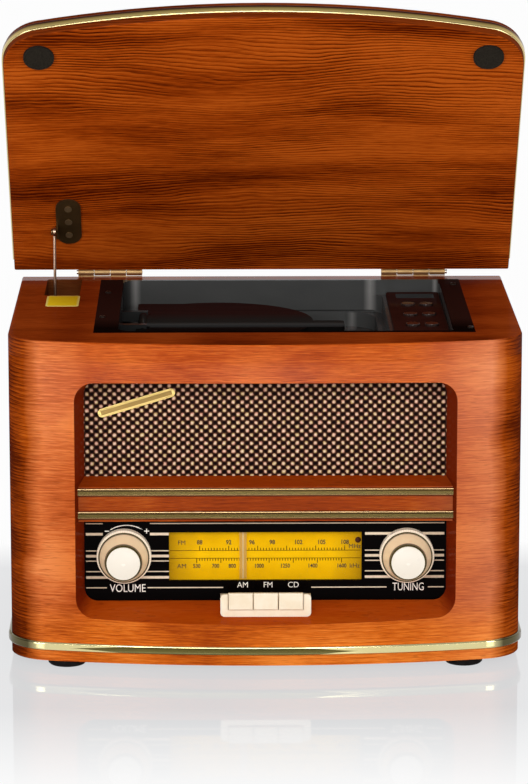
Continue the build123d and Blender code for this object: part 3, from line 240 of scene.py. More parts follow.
glow = acrylic("Emission", {"Color": (0.975, 0.985, 1.0), "Strength": 0.625})
gloss = acrylic("BsdfGlossy", {"Color": (0.12, 0.12, 0.12), "Roughness": 0.03})
matt = acrylic("BsdfDiffuse", {"Color": (0.08, 0.08, 0.08)})
bounce = acrylic("BsdfDiffuse", {"Color": (0.75, 0.75, 0.75)})
far_white = acrylic("Emission", {"Color": (1.0, 1.0, 1.0), "Strength": 0.98})
near_floor = acrylic("AddShader", {0: acrylic("AddShader", {0: glow, 1: gloss}), 1: matt})
floor_x, floor_y, _ = floor_look.axes()
past_footprint = (floor_x.size() - FOOTPRINT_HALF_WIDE).most(floor_y - FOOTPRINT_BACK)
past_footprint = past_footprint.most((floor_y - FOOTPRINT_FRONT) * -0.40)
far = past_footprint.above(0.065, 0.07)
shown_floor = acrylic("MixShader", {0: far, 1: near_floor, 2: far_white})
floor_rays = floor_look.add("ShaderNodeLightPath").outputs
shows = Number(floor_look, floor_rays["Is Camera Ray"]).most(floor_rays["Is Glossy Ray"])
shows = shows.most(floor_rays["Is Transmission Ray"])
floor_surface = acrylic("MixShader", {0: shows, 1: bounce, 2: shown_floor})
floor_look.put(floor_look.tree.nodes["Material Output"].inputs["Surface"], floor_surface)
bpy.ops.mesh.primitive_plane_add(size=12, location=(0, 0, 0))
floor = bpy.context.object
floor.name = "studio_floor"
floor.data.materials.append(floor_look.material)

# The room is grey in front of the cabinet and white behind it, and plain white to the
# camera itself.
studio = bpy.data.worlds.new("studio")
bpy.context.scene.world = studio
studio.use_nodes = True
walls = Shades(studio.node_tree, "Generated")
backwards = walls.axes()[1].maths("MULTIPLY_ADD", 0.5, 0.5)
wall_tone = walls.ramp(backwards, (0.50, (0.34, 0.34, 0.34)), (0.80, (1.0, 1.0, 1.0)))
seen_straight = walls.add("ShaderNodeLightPath").outputs["Is Camera Ray"]
wall_tone = walls.mix(seen_straight, wall_tone, (1.0, 1.0, 1.0))
walls.put(studio.node_tree.nodes["Background"].inputs["Color"], wall_tone)


def soft_box(name, place, target, wide, tall, power, sheen_only=False):
    """One rectangular lamp that the camera itself doesn't see."""
    bpy.ops.object.light_add(type="AREA", location=place)
    lamp = bpy.context.object
    lamp.name = name
    aim = Vector(target) - Vector(place)
    lamp.rotation_euler = aim.to_track_quat("-Z", "Y").to_euler()
    lamp.data.shape = "RECTANGLE"
    lamp.data.size = wide
    lamp.data.size_y = tall
    lamp.data.energy = power
    lamp.visible_camera = False
    lamp.visible_diffuse = not sheen_only


soft_box("front_box", (-0.15, -2.3, 1.10), (0, 0, 0.2), 1.3, 0.7, 27)
soft_box("left_box", (-1.4, -1.6, 0.50), (0, 0, 0.12), 0.5, 0.9, 9)
soft_box("right_box", (1.4, -1.6, 0.50), (0, 0, 0.12), 0.5, 0.9, 8)
soft_box("left_card", (-0.42, -0.85, 0.01), (-0.40, -0.85, 2.0), 0.26, 1.1, 9, True)
soft_box("right_card", (0.46, -0.85, 0.01), (0.44, -0.85, 2.0), 0.34, 1.1, 9, True)

# ------------------------------------------------------------------ wooden cabinet
# Bent and glued board, faced with real veneer and rubbed down under a satin lacquer.
# The grain runs level round the front and sides, and from side to side on the top.
# The front's own veneer tones come first; the rest are painted sheen, shade and bounce light.
FRONT_TONES = ((0.21, 0.022, 0.0014), (0.41, 0.060, 0.0046), (0.63, 0.136, 0.0160))
PAINTED_SHEEN_END_TONES = ((0.34, 0.060, 0.0080), (0.66, 0.160, 0.0380), (0.84, 0.290, 0.0950))
PAINTED_SHADE_SIDE_TONES = ((0.09, 0.010, 0.0006), (0.30, 0.045, 0.0028), (0.50, 0.100, 0.0080))
PAINTED_BOUNCE_FOOT_TONES = ((0.36, 0.055, 0.0030), (0.72, 0.160, 0.0100), (0.92, 0.280, 0.0360))
PAINTED_SHEEN_TONE = (0.58, 0.20, 0.115)
PORE_STAIN = (0.06, 0.006, 0.001)
PAINTED_SHEEN_FROM_X = 0.1150
ENDS_FROM_X = 0.1260
SIDES_FROM_X = 0.1450
RIMS_FROM_X = 0.1560
FOOT_TOP_Z = 0.0340


class Veneer(Look):
    """Lacquered veneer with level grain, which lies down on the flat faces of a sheet."""

    def __init__(self, name, rings, sheet=False, turn=(0, 0, 0), swirl=0.016, waver=0.0009):
        super().__init__(name, Specular_IOR_Level=0.0, Coat_Roughness=0.16)
        self.x, self.y, self.z = self.axes(self.turned(turn))
        self.depth = self.y
        across = self.z
        if sheet:
            normal = self.add("ShaderNodeTexCoord").outputs["Normal"]
            self.face = self.axes(self.turned(turn, place=normal))[2].size().above(0.72, 0.12)
            self.depth = self.z * self.face + self.y * (1 - self.face)
            across = self.y * self.face + self.z * (1 - self.face)
        drift = self.fibres(4, 13, across) - 0.5
        wave = self.fibres(42, 60, across) - 0.5
        height = across + drift * swirl + wave * waver
        ring = (height * 430 + self.fibres(20, 60, across) * 1.6).maths("FRACT")
        self.ring = ring * ring
        self.lines = rings * (0.2 + self.fibres(7, 22, height).above(0.47, 0.30) * 0.8)
        self.broad = self.fibres(5, 30, height, 2) - 0.5
        self.streak = self.fibres(22, 900, height, 3, 0.62) - 0.5
        self.fine = self.fibres(90, 2200, across, 2, 0.6) - 0.5
        self.pores = self.fibres(120, 1700, across).above(0.66, 0.06)

    def fibres(self, along, over, height, detail=1, rough=0.5):
        """Noise that is this fine along the grain, and that fine over it."""
        place = self.join(self.x * along, self.depth * along, height * over)
        return self.noise(place, detail, rough)

    def wood(self, tone, tones):
        """Dark, middle or light wood, by its tone."""
        return self.ramp(tone, *zip((0.15, 0.52, 0.88), tones))

    def lacquer(self, colour, coat):
        """Stains the pores, and lays on a satin lacquer that sinks into the grain."""
        stained = self.mix(0.5, colour, PORE_STAIN)
        self.colour(self.mix(self.pores * 0.45, colour, stained))
        self.rough(0.45 - self.streak * 0.2 + self.pores * 0.15)
        relief = self.streak * 0.4 + self.fine * 0.3 - self.pores * 0.6 - self.ring * 0.3
        self.bump(relief, 0.00008)
        self.coat(coat)


def cabinet_grain(look):
    """The wall's grain tone, its colour with painted light and shade, and a mask of its rounded
    sides.
    """
    flame = look.noise(look.join(0, 0, look.z * 24)) - 0.5
    side = (look.x.size() + flame * 0.016).above(SIDES_FROM_X, 0.010)
    patch = look.fibres(16, 24, look.z, 2) - 0.5
    tone = 0.55 + look.broad + patch * 1.1 + look.streak * 0.45 + look.fine * 1.1
    tone = tone - (look.ring - 0.33) * (look.lines * (1 + side * 2.4))
    colour = look.wood(tone, FRONT_TONES)
    # Painted highlight: lighter wood towards both ends of the front.
    end = look.x.size().above(ENDS_FROM_X, 0.034)
    colour = look.mix(end * 0.8, colour, look.wood(tone, PAINTED_SHEEN_END_TONES))
    # Painted highlight: a pale pink sheen over the right of the front, away from the rounded
    # sides.
    painted_sheen = look.x.above(PAINTED_SHEEN_FROM_X, 0.050) * (1 - side)
    colour = look.mix(painted_sheen * 0.32, colour, PAINTED_SHEEN_TONE)
    # Painted bounce light: lighter wood along the foot of the cabinet.
    foot = 1 - look.z.above(FOOT_TOP_Z, 0.020)
    colour = look.mix(foot * 0.6, colour, look.wood(tone, PAINTED_BOUNCE_FOOT_TONES))
    # Painted shade: the rounded sides are darker, and darker still towards their outer rims.
    rim = look.x.size().above(RIMS_FROM_X, 0.018)
    colour = look.mix(side, colour, look.wood(tone - rim * 0.42, PAINTED_SHADE_SIDE_TONES))
    return tone, colour, side


WINDOW_HALF_WIDE = 0.1215
WINDOW_MIDDLE = 0.1100
WINDOW_HALF_TALL = 0.0830
WINDOW_FLOOR_TONE = (0.425, 0.053, 0.0027)
WINDOW_WALL_TONE = (0.165, 0.0140, 0.0020)
BAR_HALF_WIDE = 0.1185
BAR_MIDDLE = 0.1053
BAR_HALF_TALL = 0.0128
BAR_TONE = (0.075, 0.008, 0.0012)
UPPER_RAIL_SHADOW = 0.1084
LOWER_RAIL_SHADOW = 0.0936


def shaded_window(look, colour):
    """Paints shade on the window's floor and walls, darkens the centre bar and paints shadows
    under the rails.
    """
    across, outward, _ = look.axes(look.add("ShaderNodeTexCoord").outputs["Normal"])
    window = look.x.size().near(0, WINDOW_HALF_WIDE, 0.001)
    window = window * look.z.near(WINDOW_MIDDLE, WINDOW_HALF_TALL, 0.001)
    recess = window * (1 - outward.size().above(0.65, 0.20))
    colour = look.mix(recess * 0.80, colour, WINDOW_FLOOR_TONE)
    wall = recess * across.size().above(0.60, 0.60)
    colour = look.mix(wall * 0.92, colour, WINDOW_WALL_TONE)
    on_bar = 1 - look.x.size().above(BAR_HALF_WIDE, 0.0006)
    strip = look.z.near(BAR_MIDDLE, BAR_HALF_TALL, 0.0006) * on_bar
    # Painted shadows: thin dark lines on the wood just under each brass rail.
    rail_shadow = look.z.near(UPPER_RAIL_SHADOW, 0.0003, 0.0004)
    rail_shadow = rail_shadow.most(look.z.near(LOWER_RAIL_SHADOW, 0.0004, 0.0005)) * on_bar
    return look.mix((strip * 0.32).most(rail_shadow * 0.75), colour, BAR_TONE)


def dress(look, *names):
    """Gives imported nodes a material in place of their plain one."""
    for name in names:
        nodes[name].material_slots[0].material = look.material


front_veneer = Veneer("front_veneer", 0.12)
_, front_colour, front_sides = cabinet_grain(front_veneer)
front_colour = shaded_window(front_veneer, front_colour)
front_veneer.lacquer(front_colour, 0.10 - front_sides * 0.085)
dress(front_veneer, "cabinet_shell", "front_surround", "centre_bar", "base_board")

# Painted shade: the top face is coloured darker than the front.
PAINTED_SHADE_TOP_TONES = ((0.075, 0.008, 0.0010), (0.225, 0.029, 0.0030), (0.34, 0.058, 0.0075))
STAY_SLOT_SHADE_TONE = (0.030, 0.010, 0.003)
STAY_SLOT_X = -0.131
STAY_SLOT_Y = 0.073
BEHIND_DECK_Y = 0.0980
top_veneer = Veneer("top_veneer", 0.18, sheet=True)
top_tone, top_colour, _ = cabinet_grain(top_veneer)
top_face = top_veneer.face
top_colour = top_veneer.mix(top_face, top_colour, top_veneer.wood(top_tone, PAINTED_SHADE_TOP_TONES))
# Painted shade inside the stay's slot.
stay_slot = top_veneer.x.near(STAY_SLOT_X, 0.0125, 0.0006) * (1 - top_face)
stay_slot = stay_slot * top_veneer.y.near(STAY_SLOT_Y, 0.0300, 0.0006)
top_colour = top_veneer.mix(stay_slot * 0.85, top_colour, STAY_SLOT_SHADE_TONE)
behind_deck = top_veneer.y.above(BEHIND_DECK_Y, 0.0020)
top_veneer.lacquer(top_colour, 0.06 - top_face * 0.045 + behind_deck * 0.45)
dress(top_veneer, "top_board")

# ------------------------------------------------------------------ hidden boards
# The back and the board that carries the speakers are brown hardboard, screwed or glued
# inside the cabinet, with their faces left raw.
fibre = Look("hardboard", Roughness=0.78)
speck = fibre.specks(900, 3, 0.7)
pulp_tone = speck * 0.7 + fibre.specks(35) * 0.3
fibre.colour(fibre.ramp(pulp_tone, (0.35, (0.085, 0.045, 0.022)), (0.65, (0.20, 0.115, 0.060))))
fibre.bump(speck, 0.00015)
dress(fibre, "rear_panel", "baffle_board")

# ------------------------------------------------------------------ rubber feet
# Four moulded black rubber pads, stuck under the base board.


def mottled(name, fine, low, high, detail=2, rough=0.5, depth=0.0, **sockets):
    """A material that wanders between two stops of colour, with a relief this deep."""
    look = Look(name, **sockets)
    grains = look.specks(fine, detail, rough)
    look.colour(look.ramp(grains, low, high))
    if depth:
        look.bump(grains, depth)
    return look


DUSTY_RUBBER = (0.75, (0.014, 0.012, 0.011))
CLEAN_RUBBER = (0.35, (0.004, 0.003, 0.003))
rubber = mottled(
    "foot_rubber", 140, CLEAN_RUBBER, DUSTY_RUBBER, 3, 0.6, Roughness=0.62, Specular_IOR_Level=0.06
)
rubber.bump(rubber.specks(1800), 0.00006)
dress(rubber, "rubber_feet")

# ------------------------------------------------------------------ brass strip
# Rolled brass, buffed along its length and lacquered: the band round the foot of the
# cabinet, the two rails on the centre bar and the edging let into the lid.


def brass(name, rough, bright=None, dull=None, tarnish=0.6, metallic=1.0):
    """Brass with hairlines along it. Where no colours are given, they come later."""
    look = Look(name, Metallic=metallic)
    cloud = look.specks(45, 3, 0.6)
    hairs = look.noise(look.stretched(30, 1100, 1100))
    if bright:
        look.colour(look.mix(cloud.above(0.52, 0.3) * tarnish, bright, dull))
    look.rough(rough + (cloud - 0.5) * 0.14 + (hairs - 0.5) * 0.12)
    look.bump(hairs, 0.00001)
    return look


# The band's colour holds a painted reflection: a long bright streak with a darker olive gap in it.
# Its corners carry painted shade and its lower edge a painted shadow.
GAP_LEFT = -0.1110
GAP_RIGHT = 0.0480
BAND_CORNER_X = 0.1450
BAND_CORNER_SHADE_TONE = (0.060, 0.046, 0.018)
BAND_FOOT_SHADOW_TONE = (0.20, 0.135, 0.045)
strip_brass = brass("strip_brass", 0.16, (1.0, 0.90, 0.46), (0.98, 0.81, 0.35), 0.4)
band_low, band_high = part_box("brass_band")
band_x, _, band_z = strip_brass.axes()
band_level = (band_z - band_low.z) / (band_high.z - band_low.z)
streak_gap = band_x.above(GAP_LEFT, 0.040) * (1 - band_x.above(GAP_RIGHT, 0.032))
gap_middle = band_x.above(GAP_LEFT + 0.016, 0.055) * (1 - band_x.above(GAP_RIGHT - 0.008, 0.040))
streak_gap = streak_gap * (0.62 + gap_middle * 0.38)
painted_dim_reflection = 1 - ((band_level - 0.42).size() + (1 - streak_gap) * 0.50).above(0.42, 0.07)
# Painted shadow along the band's lower edge.
band_foot_shadow = 1 - band_level.above(0.06, 0.10)
band_colour = strip_brass.mix(band_foot_shadow, strip_brass.colour_so_far(), BAND_FOOT_SHADOW_TONE)
olive_reflection = strip_brass.ramp(
    band_level,
    (0.08, (0.190, 0.170, 0.065)),
    (0.40, (0.140, 0.112, 0.026)),
    (0.76, (0.066, 0.048, 0.004)),
)
band_colour = strip_brass.mix(painted_dim_reflection * 0.96, band_colour, olive_reflection)
# Painted shade at the band's rounded corners.
corner = band_x.size().above(BAND_CORNER_X, 0.008)
strip_brass.colour(strip_brass.mix(corner * 0.93, band_colour, BAND_CORNER_SHADE_TONE))
dress(strip_brass, "brass_band")

# The lid's edging carries painted light: a painted highlight next to the veneer, gold across its
# face and painted shade, nearly black, where it turns over the outer edge.
LID_OPEN = math.radians(53.8)
edge_brass = brass("edge_brass", 0.20)
trim_levels = [
    point.co.y * math.sin(LID_OPEN) + point.co.z * math.cos(LID_OPEN)
    for point in nodes["lid_brass_trim"].data.vertices
]
trim_low = min(trim_levels)
trim_tall = max(trim_levels) - trim_low
trim_level = edge_brass.axes(edge_brass.turned((-LID_OPEN, 0, 0)))[2]
trim_gold_and_painted_light = edge_brass.ramp(
    (trim_level - trim_low) / trim_tall,
    (0.00, (0.62, 0.49, 0.24)),
    (0.16, (0.66, 0.50, 0.19)),
    (0.50, (0.42, 0.30, 0.10)),
    (0.68, (0.16, 0.08, 0.028)),
    (0.80, (0.045, 0.010, 0.006)),
    (1.00, (0.030, 0.006, 0.004)),
)
edge_brass.colour(trim_gold_and_painted_light)
dress(edge_brass, "lid_brass_trim")

# Each rail is tarnished brass under a painted reflection: a brown foot, an olive face, a dark band
# and a bright top.
RAIL_FEET = (0.0941, 0.1088)
RAIL_TALL = 0.0051
rail_brass = brass("rail_brass", 0.26, (0.50, 0.38, 0.18), (0.34, 0.25, 0.11), 0.5)
rail_z = rail_brass.axes()[2]
rail_level = sum(
    rail_z.near(foot + RAIL_TALL / 2, RAIL_TALL / 2 + 0.00005, 0.0001) * (rail_z - foot)
    for foot in RAIL_FEET
)
rail_painted_reflection = rail_brass.ramp(
    rail_level / RAIL_TALL,
    (0.00, (0.20, 0.112, 0.050)),
    (0.16, (0.18, 0.105, 0.045)),
    (0.26, (0.070, 0.050, 0.016)),
    (0.56, (0.066, 0.047, 0.014)),
    (0.66, (0.020, 0.009, 0.001)),
    (0.80, (0.020, 0.009, 0.001)),
    (0.89, (0.42, 0.28, 0.14)),
)
rail_brass.colour(rail_brass.mix(0.97, rail_brass.colour_so_far(), rail_painted_reflection))
dress(rail_brass, "upper_brass_rail", "lower_brass_rail")

# ------------------------------------------------------------------ speaker grille
# A stretched cloth of thick cream and pink yarn over a dark brown ground. The yarn shows
# as staggered dots, and the cloth is pasted to the front of the speaker board.
CLOTH_CORNER = 0.008
CLOTH_MIDDLE = 0.0005
CLOTH_SWELL = 0.00036
DOT_PITCH = 0.0057
ROW_PITCH = 0.00262
cloth_low, cloth_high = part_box("grille_cloth")
cloth_wide = cloth_high.x - cloth_low.x
cloth_tall = cloth_high.z - cloth_low.z
bpy.ops.object.select_all(action="DESELECT")
bpy.ops.mesh.primitive_grid_add(
    x_subdivisions=round(cloth_wide / DOT_PITCH * 8),
    y_subdivisions=round(cloth_tall / ROW_PITCH * 4),
    size=1,
    rotation=(math.pi / 2, 0, 0),
    location=(0, cloth_low.y + CLOTH_MIDDLE, (cloth_low.z + cloth_high.z) / 2),
)
grille = bpy.context.object
grille.name = "grille_weave"
grille.scale = (cloth_wide, cloth_tall, 1)
bpy.ops.object.transform_apply(location=True, rotation=True, scale=True)
bpy.ops.object.mode_set(mode="EDIT")
weave_mesh = bmesh.from_edit_mesh(grille.data)
for face in weave_mesh.faces:
    centre = face.calc_center_median()
    past_side = abs(centre.x) - (cloth_wide / 2 - CLOTH_CORNER)
    past_top = centre.z - (cloth_high.z - CLOTH_CORNER)
    outside = math.hypot(past_side, past_top) > CLOTH_CORNER
    face.select_set(past_side > 0 and past_top > 0 and outside)
bmesh.update_edit_mesh(grille.data)
bpy.ops.mesh.delete(type="FACE")
bpy.ops.object.mode_set(mode="OBJECT")
for vertex in grille.data.vertices:
    over_x = math.cos(2 * math.pi * vertex.co.x / DOT_PITCH)
    over_z = math.cos(math.pi * vertex.co.z / ROW_PITCH)
    vertex.co.y -= CLOTH_SWELL * over_x * over_z
bpy.ops.object.shade_smooth()

weave = Look("grille_weave", Roughness=0.86, Specular_IOR_Level=0.05)
weave_x, _, weave_z = weave.axes()
jitter = weave.specks(420) - 0.5
swelling = weave.specks(190) - 0.5
dot_x = ((weave_x + jitter * 0.0014) * (2 * math.pi / DOT_PITCH)).maths("COSINE")
dot_z = ((weave_z + jitter * 0.0010) * (math.pi / ROW_PITCH)).maths("COSINE")
dots = dot_x * dot_z + swelling * 0.5 - (1 - dot_x.size()) * 0.30
yarn = weave.ramp(
    weave.noise(weave.stretched(330, 10, 370), 1, 0.4),
    (0.34, (0.58, 0.27, 0.19)),
    (0.48, (0.66, 0.44, 0.30)),
    (0.62, (0.52, 0.38, 0.15)),
)
yarn = weave.mix(dots.above(0.86, 0.4) * 0.75, yarn, (0.92, 0.76, 0.60))
ground = weave.ramp(
    dots * 0.5 + 0.5,
    (0.12, (0.004, 0.001, 0.001)),
    (0.45, (0.050, 0.018, 0.010)),
    (0.62, (0.20, 0.085, 0.050)),
)
weave.colour(weave.mix(dots.above(0.30, 0.40), ground, yarn))
weave.bump(weave.specks(1500, 2, 0.6), 0.00012)
grille.data.materials.append(weave.material)
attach(grille, "cabinet")
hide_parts("grille_cloth")

# ------------------------------------------------------------------ plate on the grille
# A plain slanting name plate, left blank: thin stamped brass with a raised rim, pinned
# through the cloth.
PLATE_LONG = 0.050
PLATE_TALL = 0.0056
PLATE_THICK = 0.0009
PLATE_X = -0.0803
PLATE_Z = 0.1649
PLATE_SLANT = math.radians(16.7)


def finish_piece(piece, look, body):
    """Applies the place, shades the mesh and hands the piece to its body."""
    bpy.ops.object.select_all(action="DESELECT")
    piece.select_set(True)
    bpy.context.view_layer.objects.active = piece
    bpy.ops.object.transform_apply(location=True, rotation=True, scale=True)
    bpy.ops.object.shade_smooth_by_angle(angle=math.radians(30))
    piece.data.materials.clear()
    piece.data.materials.append(look.material)
    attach(piece, body)


def select_faces(piece, facing):
    """In edit mode, selects only the faces that look this way."""
    bpy.ops.mesh.select_mode(type="FACE")
    bpy.ops.mesh.select_all(action="DESELECT")
    shape = bmesh.from_edit_mesh(piece.data)
    for face in shape.faces:
        face.select_set(face.normal.dot(Vector(facing)) > 0.9)
    bmesh.update_edit_mesh(piece.data)


def rounded_plate(name, long, tall, thick, corner, soften, rim=0.0, step=0.0):
    """A flat plate that faces -Y, with round corners and, if asked, a raised rim."""
    bpy.ops.object.select_all(action="DESELECT")
    bpy.ops.mesh.primitive_cube_add(size=1)
    plate = bpy.context.object
    plate.name = name
    plate.scale = (long, thick, tall)
    bpy.ops.object.transform_apply(location=False, rotation=False, scale=True)
    bpy.ops.object.mode_set(mode="EDIT")
    bpy.ops.mesh.select_mode(type="EDGE")
    bpy.ops.mesh.select_all(action="DESELECT")
    shape = bmesh.from_edit_mesh(plate.data)
    for edge in shape.edges:
        run = edge.verts[0].co - edge.verts[1].co
        edge.select_set(abs(run.x) + abs(run.z) < 1e-6)
    bmesh.update_edit_mesh(plate.data)
    bpy.ops.mesh.bevel(offset=corner, offset_type="OFFSET", segments=8)
    if rim:
        select_faces(plate, (0, -1, 0))
        bpy.ops.mesh.inset(thickness=rim, depth=0)
        bpy.ops.mesh.inset(thickness=step * 0.8, depth=-step)
    bpy.ops.object.mode_set(mode="OBJECT")
    bevel = plate.modifiers.new("soft_edges", "BEVEL")
    bevel.width = soften
    bevel.segments = 2
    bevel.limit_method = "ANGLE"
    bevel.angle_limit = math.radians(50)
    bpy.ops.object.modifier_apply(modifier=bevel.name)
    return plate


plate_brass = brass("plate_brass", 0.38, (0.62, 0.46, 0.17), (0.44, 0.31, 0.10), 0.5)
plate_place = plate_brass.turned((0, -PLATE_SLANT, 0), (PLATE_X, 0, PLATE_Z))
along_plate, _, over_plate = plate_brass.axes(plate_place)
field = along_plate.near(0, PLATE_LONG / 2 - 0.0019, 0.0003) * over_plate.near(0, 0.0014, 0.0003)
gilding = plate_brass.colour_so_far()
plate_brass.colour(plate_brass.mix(field * 0.85, gilding, (0.11, 0.060, 0.016)))
name_plate = rounded_plate(
    "grille_plate", PLATE_LONG, PLATE_TALL, PLATE_THICK, 0.0026, 0.00015, rim=0.0007, step=0.0003
)
name_plate.rotation_euler = (0, -PLATE_SLANT, 0)
name_plate.location = (PLATE_X, cloth_low.y - PLATE_THICK / 2 + 0.0002, PLATE_Z)
finish_piece(name_plate, plate_brass, "cabinet")

# ------------------------------------------------------------------ fascia panel
# A gloss black moulding that fills the lower window, with cream pinstripes and white
# words screen printed on it. Gaps and stripes are a middle and half their width.
STRIPE_LEFT = -0.1125
STRIPE_RIGHT = 0.1122
THIN = 0.00032
THICK = 0.00082
SOFT = 0.00022
TOP_LINE = 0.0878
TOP_STRIPE = 0.0810
LOW_LINE = 0.0463
STRIPES = ((0.0702, THIN), (0.0668, THICK), (0.0636, THIN), (0.0568, THIN), (0.0530, THICK))
ARC_GAP = (-0.0871, 0.0148)
DIAL_GAP = (0.001, 0.0615)
WORD_GAPS = ((-0.0868, 0.0128), (0.0892, 0.0130), (0.0012, 0.0277))
fascia_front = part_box("fascia_panel")[0].y
fascia = Look("fascia_gloss", Specular_IOR_Level=0.02)
fascia_x, _, fascia_z = fascia.axes()
stripes_middle = (STRIPE_LEFT + STRIPE_RIGHT) / 2
printed = fascia_x.near(stripes_middle, (STRIPE_RIGHT - STRIPE_LEFT) / 2, SOFT)
beside_arc = 1 - fascia_x.near(*ARC_GAP, SOFT)
stripes = fascia_z.near(TOP_STRIPE, THICK, SOFT) * beside_arc
for level, half in STRIPES:
    stripes = stripes + fascia_z.near(level, half, SOFT)
stripes = stripes * (1 - fascia_x.near(*DIAL_GAP, SOFT))
top_line = fascia_z.near(TOP_LINE, THIN, SOFT) * beside_arc
on_words = sum(fascia_x.near(middle, half, SOFT) for middle, half in WORD_GAPS)
low_line = fascia_z.near(LOW_LINE, THIN, SOFT) * (1 - on_words)
stripes = ((stripes + top_line + low_line) * printed).maths("MINIMUM", 1)
ink = fascia.specks(700).above(0.3, 0.35)
cream_ink = fascia.mix(fascia_x.near(0, 0.11, 0.06), (0.62, 0.46, 0.31), (0.80, 0.66, 0.50))
fascia.colour(fascia.mix(stripes * (0.8 + ink * 0.2), (0.0016, 0.0009, 0.0009), cream_ink))
fascia.rough(0.10 + fascia.specks(60) * 0.06 + stripes * 0.25)
dress(fascia, "fascia_panel")
WORN_WHITE = (0.35, (0.74, 0.68, 0.60))
FULL_WHITE = (0.6, (0.92, 0.88, 0.82))
white_ink = mottled("white_ink", 900, WORN_WHITE, FULL_WHITE, 2, 0.6, Roughness=0.5)


def words(name, text, x, z, front, tall, look, narrow=1.0, heavy=0.0):
    """Printed capitals as a thin mesh on the face at y = front, centred at x and z."""
    bpy.ops.object.select_all(action="DESELECT")
    bpy.ops.object.text_add()
    label = bpy.context.object
    label.data.body = text
    label.data.size = tall / 0.69
    label.data.align_x = "CENTER"
    label.data.align_y = "CENTER"
    label.data.extrude = 0.00004
    label.data.offset = heavy
    label.data.resolution_u = 3
    label.name = name
    bpy.ops.object.convert(target="MESH")
    label = bpy.context.object
    label.name = name
    label.scale = (narrow, 1, 1)
    label.rotation_euler = (math.pi / 2, 0, 0)
    label.location = (x, front - 0.00003, z)
    finish_piece(label, look, "cabinet")


for name, text, x, z, tall, narrow in (
    ("word_volume", "VOLUME", -0.0864, 0.0458, 0.0050, 0.80),
    ("word_tuning", "TUNING", 0.0899, 0.0463, 0.0050, 0.72),
    ("word_am", "AM", -0.0142, 0.0478, 0.0036, 0.95),
    ("word_fm", "FM", 0.0017, 0.0478, 0.0036, 0.95),
    ("word_cd", "CD", 0.0176, 0.0478, 0.0036, 0.95),
):
    words(name, text, x, z, fascia_front, tall, white_ink, narrow)

ARROW_PLACE = (-0.0870, fascia_front - 0.00004, 0.0676)
ARROW_RADIUS = 0.0188
ARROW_START = 0.55
ARROW_SWEEP = 0.98
ARROW_LINE = 0.0006
ARROW_TIP = (0.0021, 0, -0.0010)


def arc_arrow():
    """A thin curved arrow over the volume knob, spun round the knob's centre."""
    centre = Vector(ARROW_PLACE)
    bpy.ops.object.select_all(action="DESELECT")
    bpy.ops.mesh.primitive_plane_add(size=1)
    arrow = bpy.context.object
    arrow.name = "volume_arrow"
    bpy.ops.object.mode_set(mode="EDIT")
    shape = bmesh.from_edit_mesh(arrow.data)
    bmesh.ops.delete(shape, geom=shape.verts[:], context="VERTS")
    outward = Vector((-math.sin(ARROW_START), 0, math.cos(ARROW_START)))
    inner = shape.verts.new(centre + outward * ARROW_RADIUS)
    outer = shape.verts.new(centre + outward * (ARROW_RADIUS + ARROW_LINE))
    edge = shape.edges.new((inner, outer))
    shape.select_flush(False)
    edge.select_set(True)
    bmesh.update_edit_mesh(arrow.data)
    bpy.ops.mesh.spin(
        steps=28, angle=ARROW_SWEEP, center=centre, axis=(0, -1, 0), use_auto_merge=False
    )
    bpy.ops.mesh.extrude_region_move()
    bpy.ops.transform.resize(value=(3.6, 1, 3.6))
    bpy.ops.mesh.extrude_region_move(TRANSFORM_OT_translate={"value": ARROW_TIP})
    bpy.ops.transform.resize(value=(0.03, 1, 0.03))
    bpy.ops.mesh.select_all(action="SELECT")
    bpy.ops.mesh.remove_doubles(threshold=0.00002)
    bpy.ops.mesh.extrude_region_move(TRANSFORM_OT_translate={"value": (0, -0.00004, 0)})
    bpy.ops.mesh.select_all(action="SELECT")
    bpy.ops.mesh.normals_make_consistent(inside=False)
    bpy.ops.object.mode_set(mode="OBJECT")
    return arrow


finish_piece(arc_arrow(), white_ink, "cabinet")
words("word_less", "-", -0.0992, 0.0835, fascia_front, 0.0046, white_ink, 1.7)
words("word_more", "+", -0.0744, 0.0826, fascia_front, 0.0046, white_ink)

# ------------------------------------------------------------------ tuning dial
# A yellow printed steel scale behind a clear window, with a painted glow, a painted pool of light
# across its middle and painted shade at its ends and top, and a clear blade that slides along a
# rod in front of it.
FM_LINE = 0.0691
AM_LINE = 0.0641
FM_FIRST = -0.0412
AM_FIRST = -0.0431
SCALE_LONG = 0.0911
LINES_HALF_WIDE = 0.0598
PAINTED_POOL_Z = 0.0665
SCALE_END_X = 0.052
SCALE_TOP_Z = 0.0795
plate_front = fascia_front + 0.0045
dial = Look("dial_yellow", Roughness=0.55, Specular_IOR_Level=0.0)
dial_x, _, dial_z = dial.axes()
blotch = dial.noise(dial.stretched(55, 55, 110), 3, 0.6)
# Painted light: a pool of light across the middle of the scale.
painted_lamp_pool = dial_z.near(PAINTED_POOL_Z, 0.006, 0.012) * 0.55 + (blotch - 0.5) * 0.5
yellow = dial.mix(painted_lamp_pool, (0.72, 0.38, 0.001), (0.92, 0.56, 0.004))
# Painted shade at the ends and along the top of the scale.
shaded_ends = dial_x.size().above(SCALE_END_X, 0.022)
yellow = dial.mix(shaded_ends * 0.80, yellow, (0.34, 0.17, 0.004))
shaded_top = dial_z.above(SCALE_TOP_Z, 0.004)
yellow = dial.mix(shaded_top * 0.5, yellow, (0.46, 0.26, 0.003))


